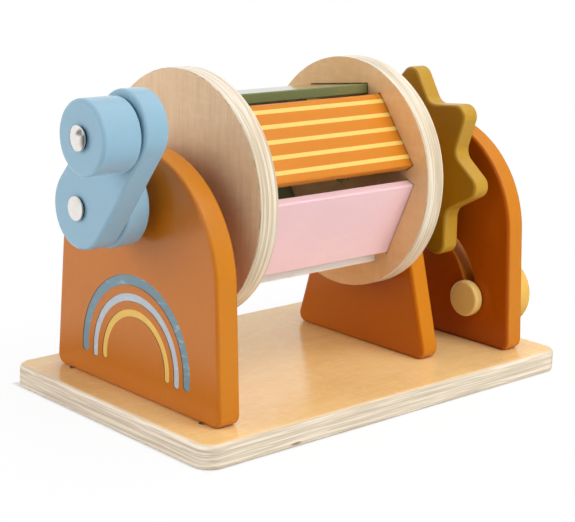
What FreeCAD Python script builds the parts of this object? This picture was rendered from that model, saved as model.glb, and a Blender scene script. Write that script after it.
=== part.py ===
import FreeCAD, Part
import math
import os

# A wooden crank toy: a base board with three uprights, a drum of two plywood discs
# and six painted slats between the first two, a sun-shaped wheel behind the drum,
# and a button that slides in an arched slot in the last upright.
# Millimetres. X runs along the drum's axis with the crank at the -X end, Y across
# the base, and Z up from the underside of the base board, whose centre is the origin.

# ---- driving dimensions ----------------------------------------------------

BASE_LENGTH = 290.0
BASE_WIDTH = 180.0
BASE_THICK = 13.3
BASE_CORNER = 10.5
BASE_TOP_EDGE = 2.6         # the rounding along the board's top
BOARD_EDGE = 1.0            # the small rounding on the other bare edges
RELIEF_RADIUS = 2.6         # two round reliefs at the ends of the front upright's seat
RELIEF_DEPTH = 3.0
RELIEF_X = -122.3
RELIEF_Y = (60.2, -59.2)

FRONT_UPRIGHT_THICK = 15.0
MIDDLE_UPRIGHT_THICK = 13.9
REAR_UPRIGHT_THICK = 14.2
UPRIGHT_EDGE = 2.5          # the rounding along an upright's faces
UPRIGHT_FOOT = 6.0          # the rounding of its two bottom corners
FRONT_UPRIGHT_X = -124.0    # each upright is given by its crank-side face
MIDDLE_UPRIGHT_X = 53.7
REAR_UPRIGHT_X = 111.0

ARCH_HALF_FOOT = 75.0       # half the arch's width where it meets the base
ARCH_TAPER = 4.0            # degrees that each side leans in
ARCH_CENTRE_HEIGHT = 84.5   # the centre of the round top
POST_HALF_FOOT = 57.6
POST_TAPER = 15.6

AXLE_HEIGHT = 124.0
AXLE_RADIUS = 3.0
AXLE_RUNNING_GAP = 0.05
TURNING_GAP = 0.4           # between faces that turn past each other

DISC_RADIUS = 70.0
FRONT_DISC_THICK = 13.0
REAR_DISC_THICK = 13.6
DISC_EDGE = 0.7
FRONT_DISC_X = -95.5
REAR_DISC_X = 33.5

SLAT_COUNT = 6
SLAT_WIDTH = 48.2
SLAT_THICK = 6.0
SLAT_OUTSIDE = 53.4         # from the axis to a slat's outer face
SLAT_GROOVE_DEPTH = 5.0
SLAT_GROOVE_GAP = 0.5
DRUM_ANGLE = 37.1           # the first slat's turn from -Y towards +Z

SPACER_RADIUS = 9.0

ARM_X = -161.5
ARM_THICK = 15.0
ARM_EDGE = 2.0
ARM_HUB_RADIUS = 22.5
ARM_TIP_RADIUS = 20.1
ARM_TIP_DISTANCE = 60.4
ARM_ANGLE = 51.5            # the arm's turn from -Y towards +Z
PIN_ANGLE = 50.4            # the knob's pin stands a little beside the arm's middle line
CRANK_THROW = 57.8          # from the axle to the knob's pin
BOSS_RADIUS = 23.5
BOSS_THICK = 15.0

KNOB_RADIUS = 19.5
KNOB_LENGTH = 23.3
KNOB_GAP = 1.0
KNOB_NOSE = 2.2             # the rounding round the knob's front
KNOB_HEEL = 1.5

CAP_RADIUS = 6.6
CAP_NECK_RADIUS = 6.1
CAP_NECK = 1.0              # the neck that holds the cap's rim off the wood
CAP_RIM = 0.9
CAP_DOME = 1.6
CAP_SOCKET = 2.0            # how far the rod's end goes into its cap

SUN_X = 83.2
SUN_THICK = 13.0
SUN_EDGE = 2.0
SUN_RAYS = 8
SUN_TIPS = (70.2, 70.1, 67.6, 70.0, 70.0, 70.0, 70.0, 69.0)     # sawn by eye, so not all alike
SUN_LEANS = (1.2, 0.7, 0.8, 0.0, 0.0, 0.0, 0.0, -0.8)           # degrees off an even spacing
SUN_VALLEY = 46.9
SUN_TIP_ROUND = 7.6
SUN_VALLEY_ROUND = 8.4
SUN_ANGLE = -6.8

SLOT_CENTRE_HEIGHT = 40.3
SLOT_RADIUS = 41.9
SLOT_WIDTH = 8.4
SLOT_EDGE = 1.2
SLOT_START = 2.0            # degrees above level at which the button rests
SLIDER_GAP = 0.6            # between the buttons and the upright's faces
SLEEVE_RADIUS = 3.9
SLEEVE_GAP = 0.3
SLIDER_PIN_RADIUS = 2.0
SLIDER_PIN_GRIP = 10.0      # the pin's blind depth in the larger button
SLIDER_PIN_SHORT_GRIP = 3.5
INNER_BUTTON_RADIUS = 11.5
INNER_BUTTON_THICK = 6.5
OUTER_BUTTON_RADIUS = 22.0
OUTER_BUTTON_THICK = 19.2
BUTTON_EDGE = 2.0

RAINBOW_DEPTH = 0.6
RAINBOW_BANDS = (            # mid radius, width, the round part's middle in Y and Z, lowest point
    (46.2, 5.9, -0.45, 32.6, 27.7),
    (37.0, 4.5, -0.85, 32.1, 26.9),
    (28.4, 4.3, -1.2, 31.8, 28.0),
)

SCREW_SHANK_RADIUS = 2.0
SCREW_HEAD_RADIUS = 4.2
SCREW_HEAD_HEIGHT = 2.6
SCREW_SUNK = 0.4            # how deep a head lies below the underside
SCREW_BITE = 24.0           # its length inside the upright
SCREW_POINT = 4.0
SCREW_SLOT_WIDTH = 1.0
SCREW_SLOT_DEPTH = 1.4
ARCH_SCREW_SPREAD = 45.0    # from the centre line to each screw
POST_SCREW_SPREAD = 32.0

# ---- places worked out from them -------------------------------------------

ARM_BACK = ARM_X + ARM_THICK
BOSS_BACK = ARM_BACK + BOSS_THICK
KNOB_BACK = ARM_X - KNOB_GAP
KNOB_FRONT = KNOB_BACK - KNOB_LENGTH
FRONT_UPRIGHT_BACK = FRONT_UPRIGHT_X + FRONT_UPRIGHT_THICK
MIDDLE_UPRIGHT_BACK = MIDDLE_UPRIGHT_X + MIDDLE_UPRIGHT_THICK
REAR_UPRIGHT_BACK = REAR_UPRIGHT_X + REAR_UPRIGHT_THICK
FRONT_DISC_INSIDE = FRONT_DISC_X + FRONT_DISC_THICK
REAR_DISC_BACK = REAR_DISC_X + REAR_DISC_THICK
SUN_BACK = SUN_X + SUN_THICK
INNER_BUTTON_BACK = REAR_UPRIGHT_X - SLIDER_GAP
OUTER_BUTTON_FRONT = REAR_UPRIGHT_BACK + SLIDER_GAP
BEYOND = 1.0                # how far a cutting tool runs past a face

X_AXIS = FreeCAD.Vector(1, 0, 0)
Z_AXIS = FreeCAD.Vector(0, 0, 1)
AXIS_POINT = FreeCAD.Vector(0, 0, AXLE_HEIGHT)


def around_axle(radius, angle):
    """The (y, z) point at a radius from the axle, turned from -Y towards +Z."""
    turn = math.radians(angle)
    return (-radius * math.cos(turn), AXLE_HEIGHT + radius * math.sin(turn))


PIN_Y, PIN_Z = around_axle(CRANK_THROW, PIN_ANGLE)
TIP_Y, TIP_Z = around_axle(ARM_TIP_DISTANCE, ARM_ANGLE)
SLIDER_Y = -SLOT_RADIUS * math.cos(math.radians(SLOT_START))
SLIDER_Z = SLOT_CENTRE_HEIGHT + SLOT_RADIUS * math.sin(math.radians(SLOT_START))

# ---- shapes used more than once --------------------------------------------


def rod(x_low, x_high, radius, y=0.0, z=AXLE_HEIGHT):
    """A round bar along X between two places."""
    start = FreeCAD.Vector(x_low, y, z)
    return Part.makeCylinder(radius, x_high - x_low, start, X_AXIS)


def at_yz(y, z):
    return FreeCAD.Vector(0, y, z)


def rounded_outline(corners, radii):
    """A closed wire across X whose straight sides are joined by tangent arcs."""
    starts, middles, ends = [], [], []
    for place, corner in enumerate(corners):
        here = at_yz(*corner)
        to_last = (at_yz(*corners[place - 1]) - here).normalize()
        to_next = (at_yz(*corners[(place + 1) % len(corners)]) - here).normalize()
        half_angle = to_last.getAngle(to_next) / 2
        inward = (to_last + to_next).normalize()
        reach = radii[place] / math.tan(half_angle)
        starts.append(here + to_last * reach)
        ends.append(here + to_next * reach)
        middles.append(here + inward * (radii[place] / math.sin(half_angle) - radii[place]))
    edges = []
    for place, start in enumerate(starts):
        edges.append(Part.Arc(start, middles[place], ends[place]).toShape())
        following = starts[(place + 1) % len(starts)]
        edges.append(Part.LineSegment(ends[place], following).toShape())
    return Part.Wire(edges)


def slab(wire, x_low, thick):
    """The plate that a wire across X makes when it is drawn out along X."""
    plate = Part.Face(wire).extrude(X_AXIS * thick)
    plate.translate(X_AXIS * x_low)
    return plate


def edges_across(solid, x_places):
    """The edges of a solid that lie wholly in one of the given X planes."""
    found = []
    for edge in solid.Edges:
        box = edge.BoundBox
        for x in x_places:
            if abs(box.XMin - x) < 1e-6 and abs(box.XMax - x) < 1e-6:
                found.append(edge)
    return found


def eased(solid, x_places, radius):
    """Round every edge that lies in the given X planes."""
    return solid.makeFillet(radius, edges_across(solid, x_places))


def round_plate(x_low, thick, radius, edge, y=0.0, z=AXLE_HEIGHT):
    """A disc across X with both rims rounded."""
    return eased(rod(x_low, x_low + thick, radius, y, z), (x_low, x_low + thick), edge)


def save(shape, node):
    shape.exportStep("parts/" + node + ".step")
    print(node, "solids", len(shape.Solids), "volume", round(shape.Volume), "valid", shape.isValid())


# ---- base board and its screws ---------------------------------------------


def screw_places():
    """The (x, y) of each screw that holds an upright from beneath."""
    places = []
    rows = (
        (FRONT_UPRIGHT_X, FRONT_UPRIGHT_BACK, ARCH_SCREW_SPREAD),
        (MIDDLE_UPRIGHT_X, MIDDLE_UPRIGHT_BACK, POST_SCREW_SPREAD),
        (REAR_UPRIGHT_X, REAR_UPRIGHT_BACK, ARCH_SCREW_SPREAD),
    )
    for front, back, spread in rows:
        for side in (-1, 1):
            places.append(((front + back) / 2, side * spread))
    return places


def screw_blank(x, y):
    """One countersunk screw, standing on its head, with no drive slot."""
    foot = FreeCAD.Vector(x, y, SCREW_SUNK)
    head = Part.makeCone(SCREW_HEAD_RADIUS, SCREW_SHANK_RADIUS, SCREW_HEAD_HEIGHT, foot, Z_AXIS)
    shank_top = BASE_THICK + SCREW_BITE - SCREW_POINT
    shank = Part.makeCylinder(SCREW_SHANK_RADIUS, shank_top - SCREW_SUNK, foot, Z_AXIS)
    tip = FreeCAD.Vector(x, y, shank_top)
    point = Part.makeCone(SCREW_SHANK_RADIUS, 0, SCREW_POINT, tip, Z_AXIS)
    return head.fuse([shank, point]).removeSplitter()


def sinking(x, y):
    """The round recess below a screw's head."""
    start = FreeCAD.Vector(x, y, -BEYOND)
    return Part.makeCylinder(SCREW_HEAD_RADIUS, SCREW_SUNK + BEYOND, start, Z_AXIS)


def drive_cross(x, y):
    """The cross-shaped recess in a screw's head."""
    long_side = SCREW_HEAD_RADIUS
    bars = []
    for wide, deep in ((long_side, SCREW_SLOT_WIDTH), (SCREW_SLOT_WIDTH, long_side)):
        corner = FreeCAD.Vector(x - wide / 2, y - deep / 2, SCREW_SUNK - BEYOND)
        bars.append(Part.makeBox(wide, deep, SCREW_SLOT_DEPTH + BEYOND, corner))
    return bars[0].fuse(bars[1])


screws = [screw_blank(x, y) for x, y in screw_places()]

board = Part.makeBox(
    BASE_LENGTH, BASE_WIDTH, BASE_THICK,
    FreeCAD.Vector(-BASE_LENGTH / 2, -BASE_WIDTH / 2, 0),
)
upright_edges = [edge for edge in board.Edges if edge.BoundBox.ZLength > BASE_THICK / 2]
board = board.makeFillet(BASE_CORNER, upright_edges)
for level, rounding in ((BASE_THICK, BASE_TOP_EDGE), (0.0, BOARD_EDGE)):
    rim = [edge for edge in board.Edges
           if edge.BoundBox.ZLength < 1e-6 and abs(edge.BoundBox.ZMax - level) < 1e-6]
    board = board.makeFillet(rounding, rim)
reliefs = [
    Part.makeCylinder(
        RELIEF_RADIUS, RELIEF_DEPTH + BEYOND,
        FreeCAD.Vector(RELIEF_X, y, BASE_THICK - RELIEF_DEPTH), Z_AXIS,
    )
    for y in RELIEF_Y
]
board = board.cut(screws + [sinking(x, y) for x, y in screw_places()] + reliefs)
save(board, "base_board")

finished_screws = [screw.cut(drive_cross(x, y)) for screw, (x, y) in zip(screws, screw_places())]
save(Part.makeCompound(finished_screws), "base_screws")

# ---- uprights --------------------------------------------------------------


def upright(x, x_back, half_foot, taper, top_centre):
    """A tapered plate on the base whose two sides run into one round top."""
    lean = math.radians(taper)
    apex = BASE_THICK + half_foot / math.tan(lean)
    top_radius = (apex - top_centre) * math.sin(lean)
    corners = ((half_foot, BASE_THICK), (0.0, apex), (-half_foot, BASE_THICK))
    wire = rounded_outline(corners, (UPRIGHT_FOOT, top_radius, UPRIGHT_FOOT))
    return eased(slab(wire, x, x_back - x), (x, x_back), UPRIGHT_EDGE)


def rainbow_groove(radius, width, y, z, lowest):
    """One arch of the rainbow, cut into the crank side of the front upright."""
    x = FRONT_UPRIGHT_X - BEYOND
    depth = RAINBOW_DEPTH + BEYOND
    half = width / 2
    ring = rod(x, x + depth, radius + half, y, z)
    ring = ring.cut(rod(x - BEYOND, x + depth + BEYOND, radius - half, y, z))
    below = Part.makeBox(
        depth + 2 * BEYOND, 4 * radius, 2 * radius,
        FreeCAD.Vector(x - BEYOND, y - 2 * radius, z - 2 * radius),
    )
    pieces = []
    foot = lowest + half
    for side in (-1, 1):
        leg_corner = FreeCAD.Vector(x, y + side * radius - half, foot)
        pieces.append(Part.makeBox(depth, width, z - foot, leg_corner))
        pieces.append(rod(x, x + depth, half, y + side * radius, foot))
    return ring.cut(below).fuse(pieces).removeSplitter()


def axle_hole(x_low, x_high):
    return rod(x_low - BEYOND, x_high + BEYOND, AXLE_RADIUS + AXLE_RUNNING_GAP)


arch_form = (ARCH_HALF_FOOT, ARCH_TAPER, ARCH_CENTRE_HEIGHT)
post_form = (POST_HALF_FOOT, POST_TAPER, AXLE_HEIGHT)
front_upright = upright(FRONT_UPRIGHT_X, FRONT_UPRIGHT_BACK, *arch_form)
front_upright = front_upright.cut([axle_hole(FRONT_UPRIGHT_X, FRONT_UPRIGHT_BACK)] + screws)
front_upright = front_upright.cut([rainbow_groove(*band) for band in RAINBOW_BANDS])
save(front_upright, "front_upright")

middle_upright = upright(MIDDLE_UPRIGHT_X, MIDDLE_UPRIGHT_BACK, *post_form)
middle_upright = middle_upright.cut([axle_hole(MIDDLE_UPRIGHT_X, MIDDLE_UPRIGHT_BACK)] + screws)
save(middle_upright, "middle_upright")


def arched_slot():
    """The half-round slot, as a solid that runs through the rear upright."""
    half = SLOT_WIDTH / 2
    turn = math.radians(SLOT_START)

    def on_arch(radius, angle):
        across = -radius * math.cos(angle)
        return FreeCAD.Vector(0, across, SLOT_CENTRE_HEIGHT + radius * math.sin(angle))

    low, top, high = turn, math.pi / 2, math.pi - turn
    outer = SLOT_RADIUS + half
    inner = SLOT_RADIUS - half
    # each round end bulges past the button's resting place by half the slot's width
    end_drop = half / SLOT_RADIUS
    edges = [
        Part.Arc(on_arch(outer, low), on_arch(outer, top), on_arch(outer, high)),
        Part.Arc(on_arch(outer, high), on_arch(SLOT_RADIUS, high + end_drop), on_arch(inner, high)),
        Part.Arc(on_arch(inner, high), on_arch(inner, top), on_arch(inner, low)),
        Part.Arc(on_arch(inner, low), on_arch(SLOT_RADIUS, low - end_drop), on_arch(outer, low)),
    ]
    wire = Part.Wire([edge.toShape() for edge in edges])
    return slab(wire, REAR_UPRIGHT_X - BEYOND, REAR_UPRIGHT_THICK + 2 * BEYOND)


def slot_rims(solid):
    """The edges round the slot's two mouths: those within the slot's own reach."""
    rims = []
    reach = SLOT_RADIUS + SLOT_WIDTH
    for edge in edges_across(solid, (REAR_UPRIGHT_X, REAR_UPRIGHT_BACK)):
        box = edge.BoundBox
        if box.YMin > -reach and box.YMax < reach and box.ZMin > SLOT_CENTRE_HEIGHT - SLOT_WIDTH:
            if box.ZMax < SLOT_CENTRE_HEIGHT + reach:
                rims.append(edge)
    return rims


rear_upright = upright(REAR_UPRIGHT_X, REAR_UPRIGHT_BACK, *arch_form)
rear_upright = rear_upright.cut(arched_slot())
rear_upright = rear_upright.makeFillet(SLOT_EDGE, slot_rims(rear_upright))
rear_upright = rear_upright.cut(screws)
save(rear_upright, "rear_upright")

# ---- drum ------------------------------------------------------------------


def turned(solid, angle):
    """Turn a solid about the axle, from -Y towards +Z."""
    copy = solid.copy()
    copy.rotate(AXIS_POINT, X_AXIS, -angle)
    return copy


def slat_bar(x_low, x_high, grow):
    """A bar with a slat's section, at the -Y side of the axle."""
    wide = SLAT_WIDTH + 2 * grow
    deep = SLAT_THICK + 2 * grow
    corner = FreeCAD.Vector(x_low, -SLAT_OUTSIDE - grow, AXLE_HEIGHT - wide / 2)
    return Part.makeBox(x_high - x_low, deep, wide, corner)


def slat_angles():
    return [DRUM_ANGLE + place * 360.0 / SLAT_COUNT for place in range(SLAT_COUNT)]


def drum_disc(x, thick, groove_low, groove_high):
    """A plywood disc with a groove for each slat and a tight hole for its axle."""
    disc = round_plate(x, thick, DISC_RADIUS, DISC_EDGE)
    groove = slat_bar(groove_low, groove_high, SLAT_GROOVE_GAP)
    tools = [turned(groove, angle) for angle in slat_angles()]
    tools.append(rod(x - BEYOND, x + thick + BEYOND, AXLE_RADIUS))
    return disc.cut(tools)


front_groove_floor = FRONT_DISC_INSIDE - SLAT_GROOVE_DEPTH
rear_groove_floor = REAR_DISC_X + SLAT_GROOVE_DEPTH
front_disc = drum_disc(
    FRONT_DISC_X, FRONT_DISC_THICK, front_groove_floor, FRONT_DISC_INSIDE + BEYOND,
)
rear_disc = drum_disc(REAR_DISC_X, REAR_DISC_THICK, REAR_DISC_X - BEYOND, rear_groove_floor)
save(front_disc, "front_disc")
save(rear_disc, "rear_disc")

SLAT_NAMES = (
    "slat_orange_striped",
    "slat_green",
    "slat_sky",
    "slat_sage",
    "slat_white",
    "slat_pink",
)
slat = slat_bar(front_groove_floor, rear_groove_floor, 0)
long_edges = [edge for edge in slat.Edges if edge.BoundBox.XLength > SLAT_WIDTH]
slat = slat.makeFillet(BOARD_EDGE, long_edges)
for slat_name, slat_angle in zip(SLAT_NAMES, slat_angles()):
    save(turned(slat, slat_angle), slat_name)

# ---- axles, caps and spacers -----------------------------------------------


def cap(face_x, outward, y=0.0, z=AXLE_HEIGHT):
    """A domed push cap on a rod's end: a neck against the wood, a rim and a dome."""
    rim_low = CAP_NECK
    rim_high = rim_low + CAP_RIM
    crown = rim_high + CAP_DOME

    def place(along, radius):
        return FreeCAD.Vector(face_x + outward * along, y, z + radius)

    ball_radius = (CAP_RADIUS ** 2 + CAP_DOME ** 2) / (2 * CAP_DOME)
    shoulder = CAP_RADIUS / 2
    dome_middle = crown - ball_radius + math.sqrt(ball_radius ** 2 - shoulder ** 2)
    lines = [
        Part.LineSegment(place(CAP_SOCKET, 0), place(CAP_SOCKET, AXLE_RADIUS)),
        Part.LineSegment(place(CAP_SOCKET, AXLE_RADIUS), place(0, AXLE_RADIUS)),
        Part.LineSegment(place(0, AXLE_RADIUS), place(0, CAP_NECK_RADIUS)),
        Part.LineSegment(place(0, CAP_NECK_RADIUS), place(rim_low, CAP_NECK_RADIUS)),
        Part.LineSegment(place(rim_low, CAP_NECK_RADIUS), place(rim_low, CAP_RADIUS)),
        Part.LineSegment(place(rim_low, CAP_RADIUS), place(rim_high, CAP_RADIUS)),
        Part.Arc(place(rim_high, CAP_RADIUS), place(dome_middle, shoulder), place(crown, 0)),
        Part.LineSegment(place(crown, 0), place(CAP_SOCKET, 0)),
    ]
    profile = Part.Face(Part.Wire([line.toShape() for line in lines]))
    return profile.revolve(FreeCAD.Vector(0, y, z), X_AXIS, 360)


def spacer(x_low, x_high):
    """A turned wooden ring that keeps two pieces apart on an axle."""
    ring = round_plate(x_low, x_high - x_low, SPACER_RADIUS, BOARD_EDGE)
    return ring.cut(rod(x_low - BEYOND, x_high + BEYOND, AXLE_RADIUS))


save(rod(ARM_X - CAP_SOCKET, FRONT_DISC_INSIDE + CAP_SOCKET, AXLE_RADIUS), "crank_axle")
save(cap(ARM_X, -1), "crank_axle_cap")
save(cap(FRONT_DISC_INSIDE, 1), "crank_axle_inner_cap")
save(rod(REAR_DISC_X - CAP_SOCKET, SUN_BACK + CAP_SOCKET, AXLE_RADIUS), "sun_axle")
save(cap(REAR_DISC_X, -1), "sun_axle_inner_cap")
save(cap(SUN_BACK, 1), "sun_axle_cap")

save(spacer(BOSS_BACK, FRONT_UPRIGHT_X - TURNING_GAP), "crank_spacer")
save(spacer(FRONT_UPRIGHT_BACK + TURNING_GAP, FRONT_DISC_X), "front_drum_spacer")
save(spacer(REAR_DISC_BACK, MIDDLE_UPRIGHT_X - TURNING_GAP), "rear_drum_spacer")
save(spacer(MIDDLE_UPRIGHT_BACK + TURNING_GAP, SUN_X), "sun_spacer")

# ---- crank -----------------------------------------------------------------


def arm_outline():
    """Two circles of unlike size wrapped by their outer tangents."""
    ratio = (ARM_HUB_RADIUS - ARM_TIP_RADIUS) / ARM_TIP_DISTANCE
    spread = math.degrees(math.acos(ratio))

    def on_hub(angle):
        return at_yz(*around_axle(ARM_HUB_RADIUS, ARM_ANGLE + angle))

    def on_tip(angle):
        turn = math.radians(ARM_ANGLE + angle)
        y = TIP_Y - ARM_TIP_RADIUS * math.cos(turn)
        z = TIP_Z + ARM_TIP_RADIUS * math.sin(turn)
        return at_yz(y, z)

    edges = [
        Part.Arc(on_tip(-spread), on_tip(0), on_tip(spread)),
        Part.LineSegment(on_tip(spread), on_hub(spread)),
        Part.Arc(on_hub(spread), on_hub(180), on_hub(-spread)),
        Part.LineSegment(on_hub(-spread), on_tip(-spread)),
    ]
    return Part.Wire([edge.toShape() for edge in edges])


arm = eased(slab(arm_outline(), ARM_X, ARM_THICK), (ARM_X, ARM_BACK), ARM_EDGE)
arm = arm.cut([
    rod(ARM_X - BEYOND, ARM_BACK + BEYOND, AXLE_RADIUS),
    rod(ARM_X - BEYOND, ARM_BACK + BEYOND, AXLE_RADIUS, PIN_Y, PIN_Z),
])
save(arm, "crank_arm")

boss = round_plate(ARM_BACK, BOSS_THICK, BOSS_RADIUS, ARM_EDGE)
save(boss.cut(rod(ARM_BACK - BEYOND, BOSS_BACK + BEYOND, AXLE_RADIUS)), "crank_boss")

knob = rod(KNOB_FRONT, KNOB_BACK, KNOB_RADIUS, PIN_Y, PIN_Z)
knob = eased(knob, (KNOB_FRONT,), KNOB_NOSE)
knob = eased(knob, (KNOB_BACK,), KNOB_HEEL)
knob_bore = rod(KNOB_FRONT - BEYOND, KNOB_BACK + BEYOND, AXLE_RADIUS + AXLE_RUNNING_GAP, PIN_Y, PIN_Z)
save(knob.cut(knob_bore), "crank_knob")

knob_cap_face = KNOB_FRONT - TURNING_GAP
save(rod(knob_cap_face - CAP_SOCKET, ARM_BACK + CAP_SOCKET, AXLE_RADIUS, PIN_Y, PIN_Z), "knob_pin")
save(cap(knob_cap_face, -1, PIN_Y, PIN_Z), "knob_cap")
save(cap(ARM_BACK, 1, PIN_Y, PIN_Z), "knob_back_cap")

# ---- sun -------------------------------------------------------------------


def sun_outline():
    """A star of nearly equal rays whose tips and valleys are all rounded."""
    corners, radii = [], []
    step = 360.0 / SUN_RAYS
    for ray, (tip, lean) in enumerate(zip(SUN_TIPS, SUN_LEANS)):
        angle = SUN_ANGLE + ray * step
        corners += [around_axle(tip, angle + lean), around_axle(SUN_VALLEY, angle + step / 2)]
        radii += [SUN_TIP_ROUND, SUN_VALLEY_ROUND]
    return rounded_outline(corners, radii)


sun = eased(slab(sun_outline(), SUN_X, SUN_THICK), (SUN_X, SUN_BACK), SUN_EDGE)
save(sun.cut(rod(SUN_X - BEYOND, SUN_BACK + BEYOND, AXLE_RADIUS)), "sun_wheel")

# ---- sliding button --------------------------------------------------------

pin_low = INNER_BUTTON_BACK - SLIDER_PIN_SHORT_GRIP
pin_high = OUTER_BUTTON_FRONT + SLIDER_PIN_GRIP
slider_pin = rod(pin_low, pin_high, SLIDER_PIN_RADIUS, SLIDER_Y, SLIDER_Z)
save(slider_pin, "slider_pin")

sleeve_low = INNER_BUTTON_BACK + SLEEVE_GAP
sleeve_high = OUTER_BUTTON_FRONT - SLEEVE_GAP
sleeve = rod(sleeve_low, sleeve_high, SLEEVE_RADIUS, SLIDER_Y, SLIDER_Z)
sleeve_bore = SLIDER_PIN_RADIUS + AXLE_RUNNING_GAP
sleeve = sleeve.cut(rod(sleeve_low - BEYOND, sleeve_high + BEYOND, sleeve_bore, SLIDER_Y, SLIDER_Z))
save(sleeve, "slider_sleeve")

inner_low = INNER_BUTTON_BACK - INNER_BUTTON_THICK
inner_button = round_plate(
    inner_low, INNER_BUTTON_THICK, INNER_BUTTON_RADIUS, BUTTON_EDGE, SLIDER_Y, SLIDER_Z,
)
save(inner_button.cut(slider_pin), "slider_inner_button")
outer_button = round_plate(
    OUTER_BUTTON_FRONT, OUTER_BUTTON_THICK, OUTER_BUTTON_RADIUS, BUTTON_EDGE, SLIDER_Y, SLIDER_Z,
)
save(outer_button.cut(slider_pin), "slider_outer_button")
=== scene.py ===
# %% [markdown]
# # A wooden crank toy
# The toy's solids are already packed as a frame that moves. This lesson makes every piece
# that shows, with the shape and the finish that the real toy has, and lets each one ride on
# its part of the frame. All pieces are drawn where they stand, in the frame's own place.

# %% Load the frame
from math import acos, ceil, cos, degrees, hypot, pi, radians, sin, tan

import bmesh
import bpy
from mathutils import Matrix, Vector


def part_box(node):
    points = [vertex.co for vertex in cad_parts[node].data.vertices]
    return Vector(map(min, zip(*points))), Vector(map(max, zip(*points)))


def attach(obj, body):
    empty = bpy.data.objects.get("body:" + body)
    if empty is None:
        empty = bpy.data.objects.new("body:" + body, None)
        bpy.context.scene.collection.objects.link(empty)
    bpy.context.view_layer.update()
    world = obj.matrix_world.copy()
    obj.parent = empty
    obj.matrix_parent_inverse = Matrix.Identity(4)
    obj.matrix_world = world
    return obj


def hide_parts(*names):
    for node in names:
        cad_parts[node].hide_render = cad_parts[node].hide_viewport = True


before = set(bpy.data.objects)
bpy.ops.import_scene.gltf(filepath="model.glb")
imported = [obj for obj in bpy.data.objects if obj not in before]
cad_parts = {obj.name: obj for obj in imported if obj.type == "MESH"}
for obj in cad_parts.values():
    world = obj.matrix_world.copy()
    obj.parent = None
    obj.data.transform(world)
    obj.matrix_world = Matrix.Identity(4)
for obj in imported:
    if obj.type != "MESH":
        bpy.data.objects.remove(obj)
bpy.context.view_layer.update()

# %% [markdown]
# ## Millimetres
# Blender counts in metres and a toy maker counts in millimetres. The drawings below are in
# millimetres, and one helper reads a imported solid's corners in them too, so that a piece
# takes its place from the frame and not from a number that was typed twice.

# %% Read a solid's corners
MM = 0.001
AXLE_HEIGHT, AXLE_RADIUS, AXLE_HOLE = 124.0, 3.0, 3.05
OUTSIDE = 1.0     # how far a cutter reaches past the piece that it cuts


def corners_of(node):
    """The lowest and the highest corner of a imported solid, in millimetres."""
    return [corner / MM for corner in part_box(node)]


def middle_of(node):
    low, high = corners_of(node)
    return (low + high) / 2


base_low, base_high = corners_of("base_board")
print("the base board is", [round(side, 1) for side in base_high - base_low])

# %% [markdown]
# ## Helpers for working by hand
# In the window a modeller clicks on a piece, opens it in edit mode and picks faces or edges.
# In a script the same steps are calls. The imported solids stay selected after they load, so
# everything is deselected before a new piece is opened.

# %% Open, pick and close


def only(piece):
    """Select one piece, alone, and make it the active one."""
    bpy.ops.object.select_all(action="DESELECT")
    piece.select_set(True)
    bpy.context.view_layer.objects.active = piece


def settle():
    """Write the active piece's place, turn and size into its mesh."""
    bpy.ops.object.transform_apply(location=True, rotation=True, scale=True)
    return bpy.context.active_object


def add(primitive, **settings):
    """Add a primitive while nothing else is selected."""
    bpy.ops.object.select_all(action="DESELECT")
    primitive(**settings)
    return settle()


def open_piece(piece):
    only(piece)
    bpy.ops.object.mode_set(mode="EDIT")


def close_piece():
    bpy.ops.object.mode_set(mode="OBJECT")


def pick(piece, kind, test):
    """In edit mode, select every vertex, edge or face that passes a test."""
    bpy.ops.mesh.select_mode(type=kind)
    bpy.ops.mesh.select_all(action="DESELECT")
    mesh = bmesh.from_edit_mesh(piece.data)
    found = {"VERT": mesh.verts, "EDGE": mesh.edges, "FACE": mesh.faces}[kind]
    chosen = [element for element in found if test(element)]
    for element in chosen:
        element.select_set(True)
    bmesh.update_edit_mesh(piece.data)
    return len(chosen)


def lies_at(element, axis, value, reach=0.002):
    """Whether all of an edge or a face lies in one plane across an axis, in millimetres."""
    return all(abs(vertex.co[axis] / MM - value) < reach for vertex in element.verts)


# %% [markdown]
# ## A pencil
# Nearly every piece of this toy is either a board sawn to an outline or a piece turned on a
# lathe, and both start as a line drawing. The pencil starts as a small plane that is merged
# to one vertex. A straight side is that vertex extruded, and an arc is the vertex spun about
# the arc's centre. The spin operator turns clockwise, so the angle changes its sign.

# %% Draw a line or an arc
SAGITTA = 0.012      # how far a drawn arc may cut inside the true one
SPIN_AXIS = {"YZ": (1, 0, 0), "XZ": (0, -1, 0), "XY": (0, 0, 1)}
JOIN = 1e-6


def round_about(middle, radius, angle):
    """The point at a distance and an angle from a middle."""
    return (middle[0] + radius * cos(radians(angle)), middle[1] + radius * sin(radians(angle)))


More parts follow.
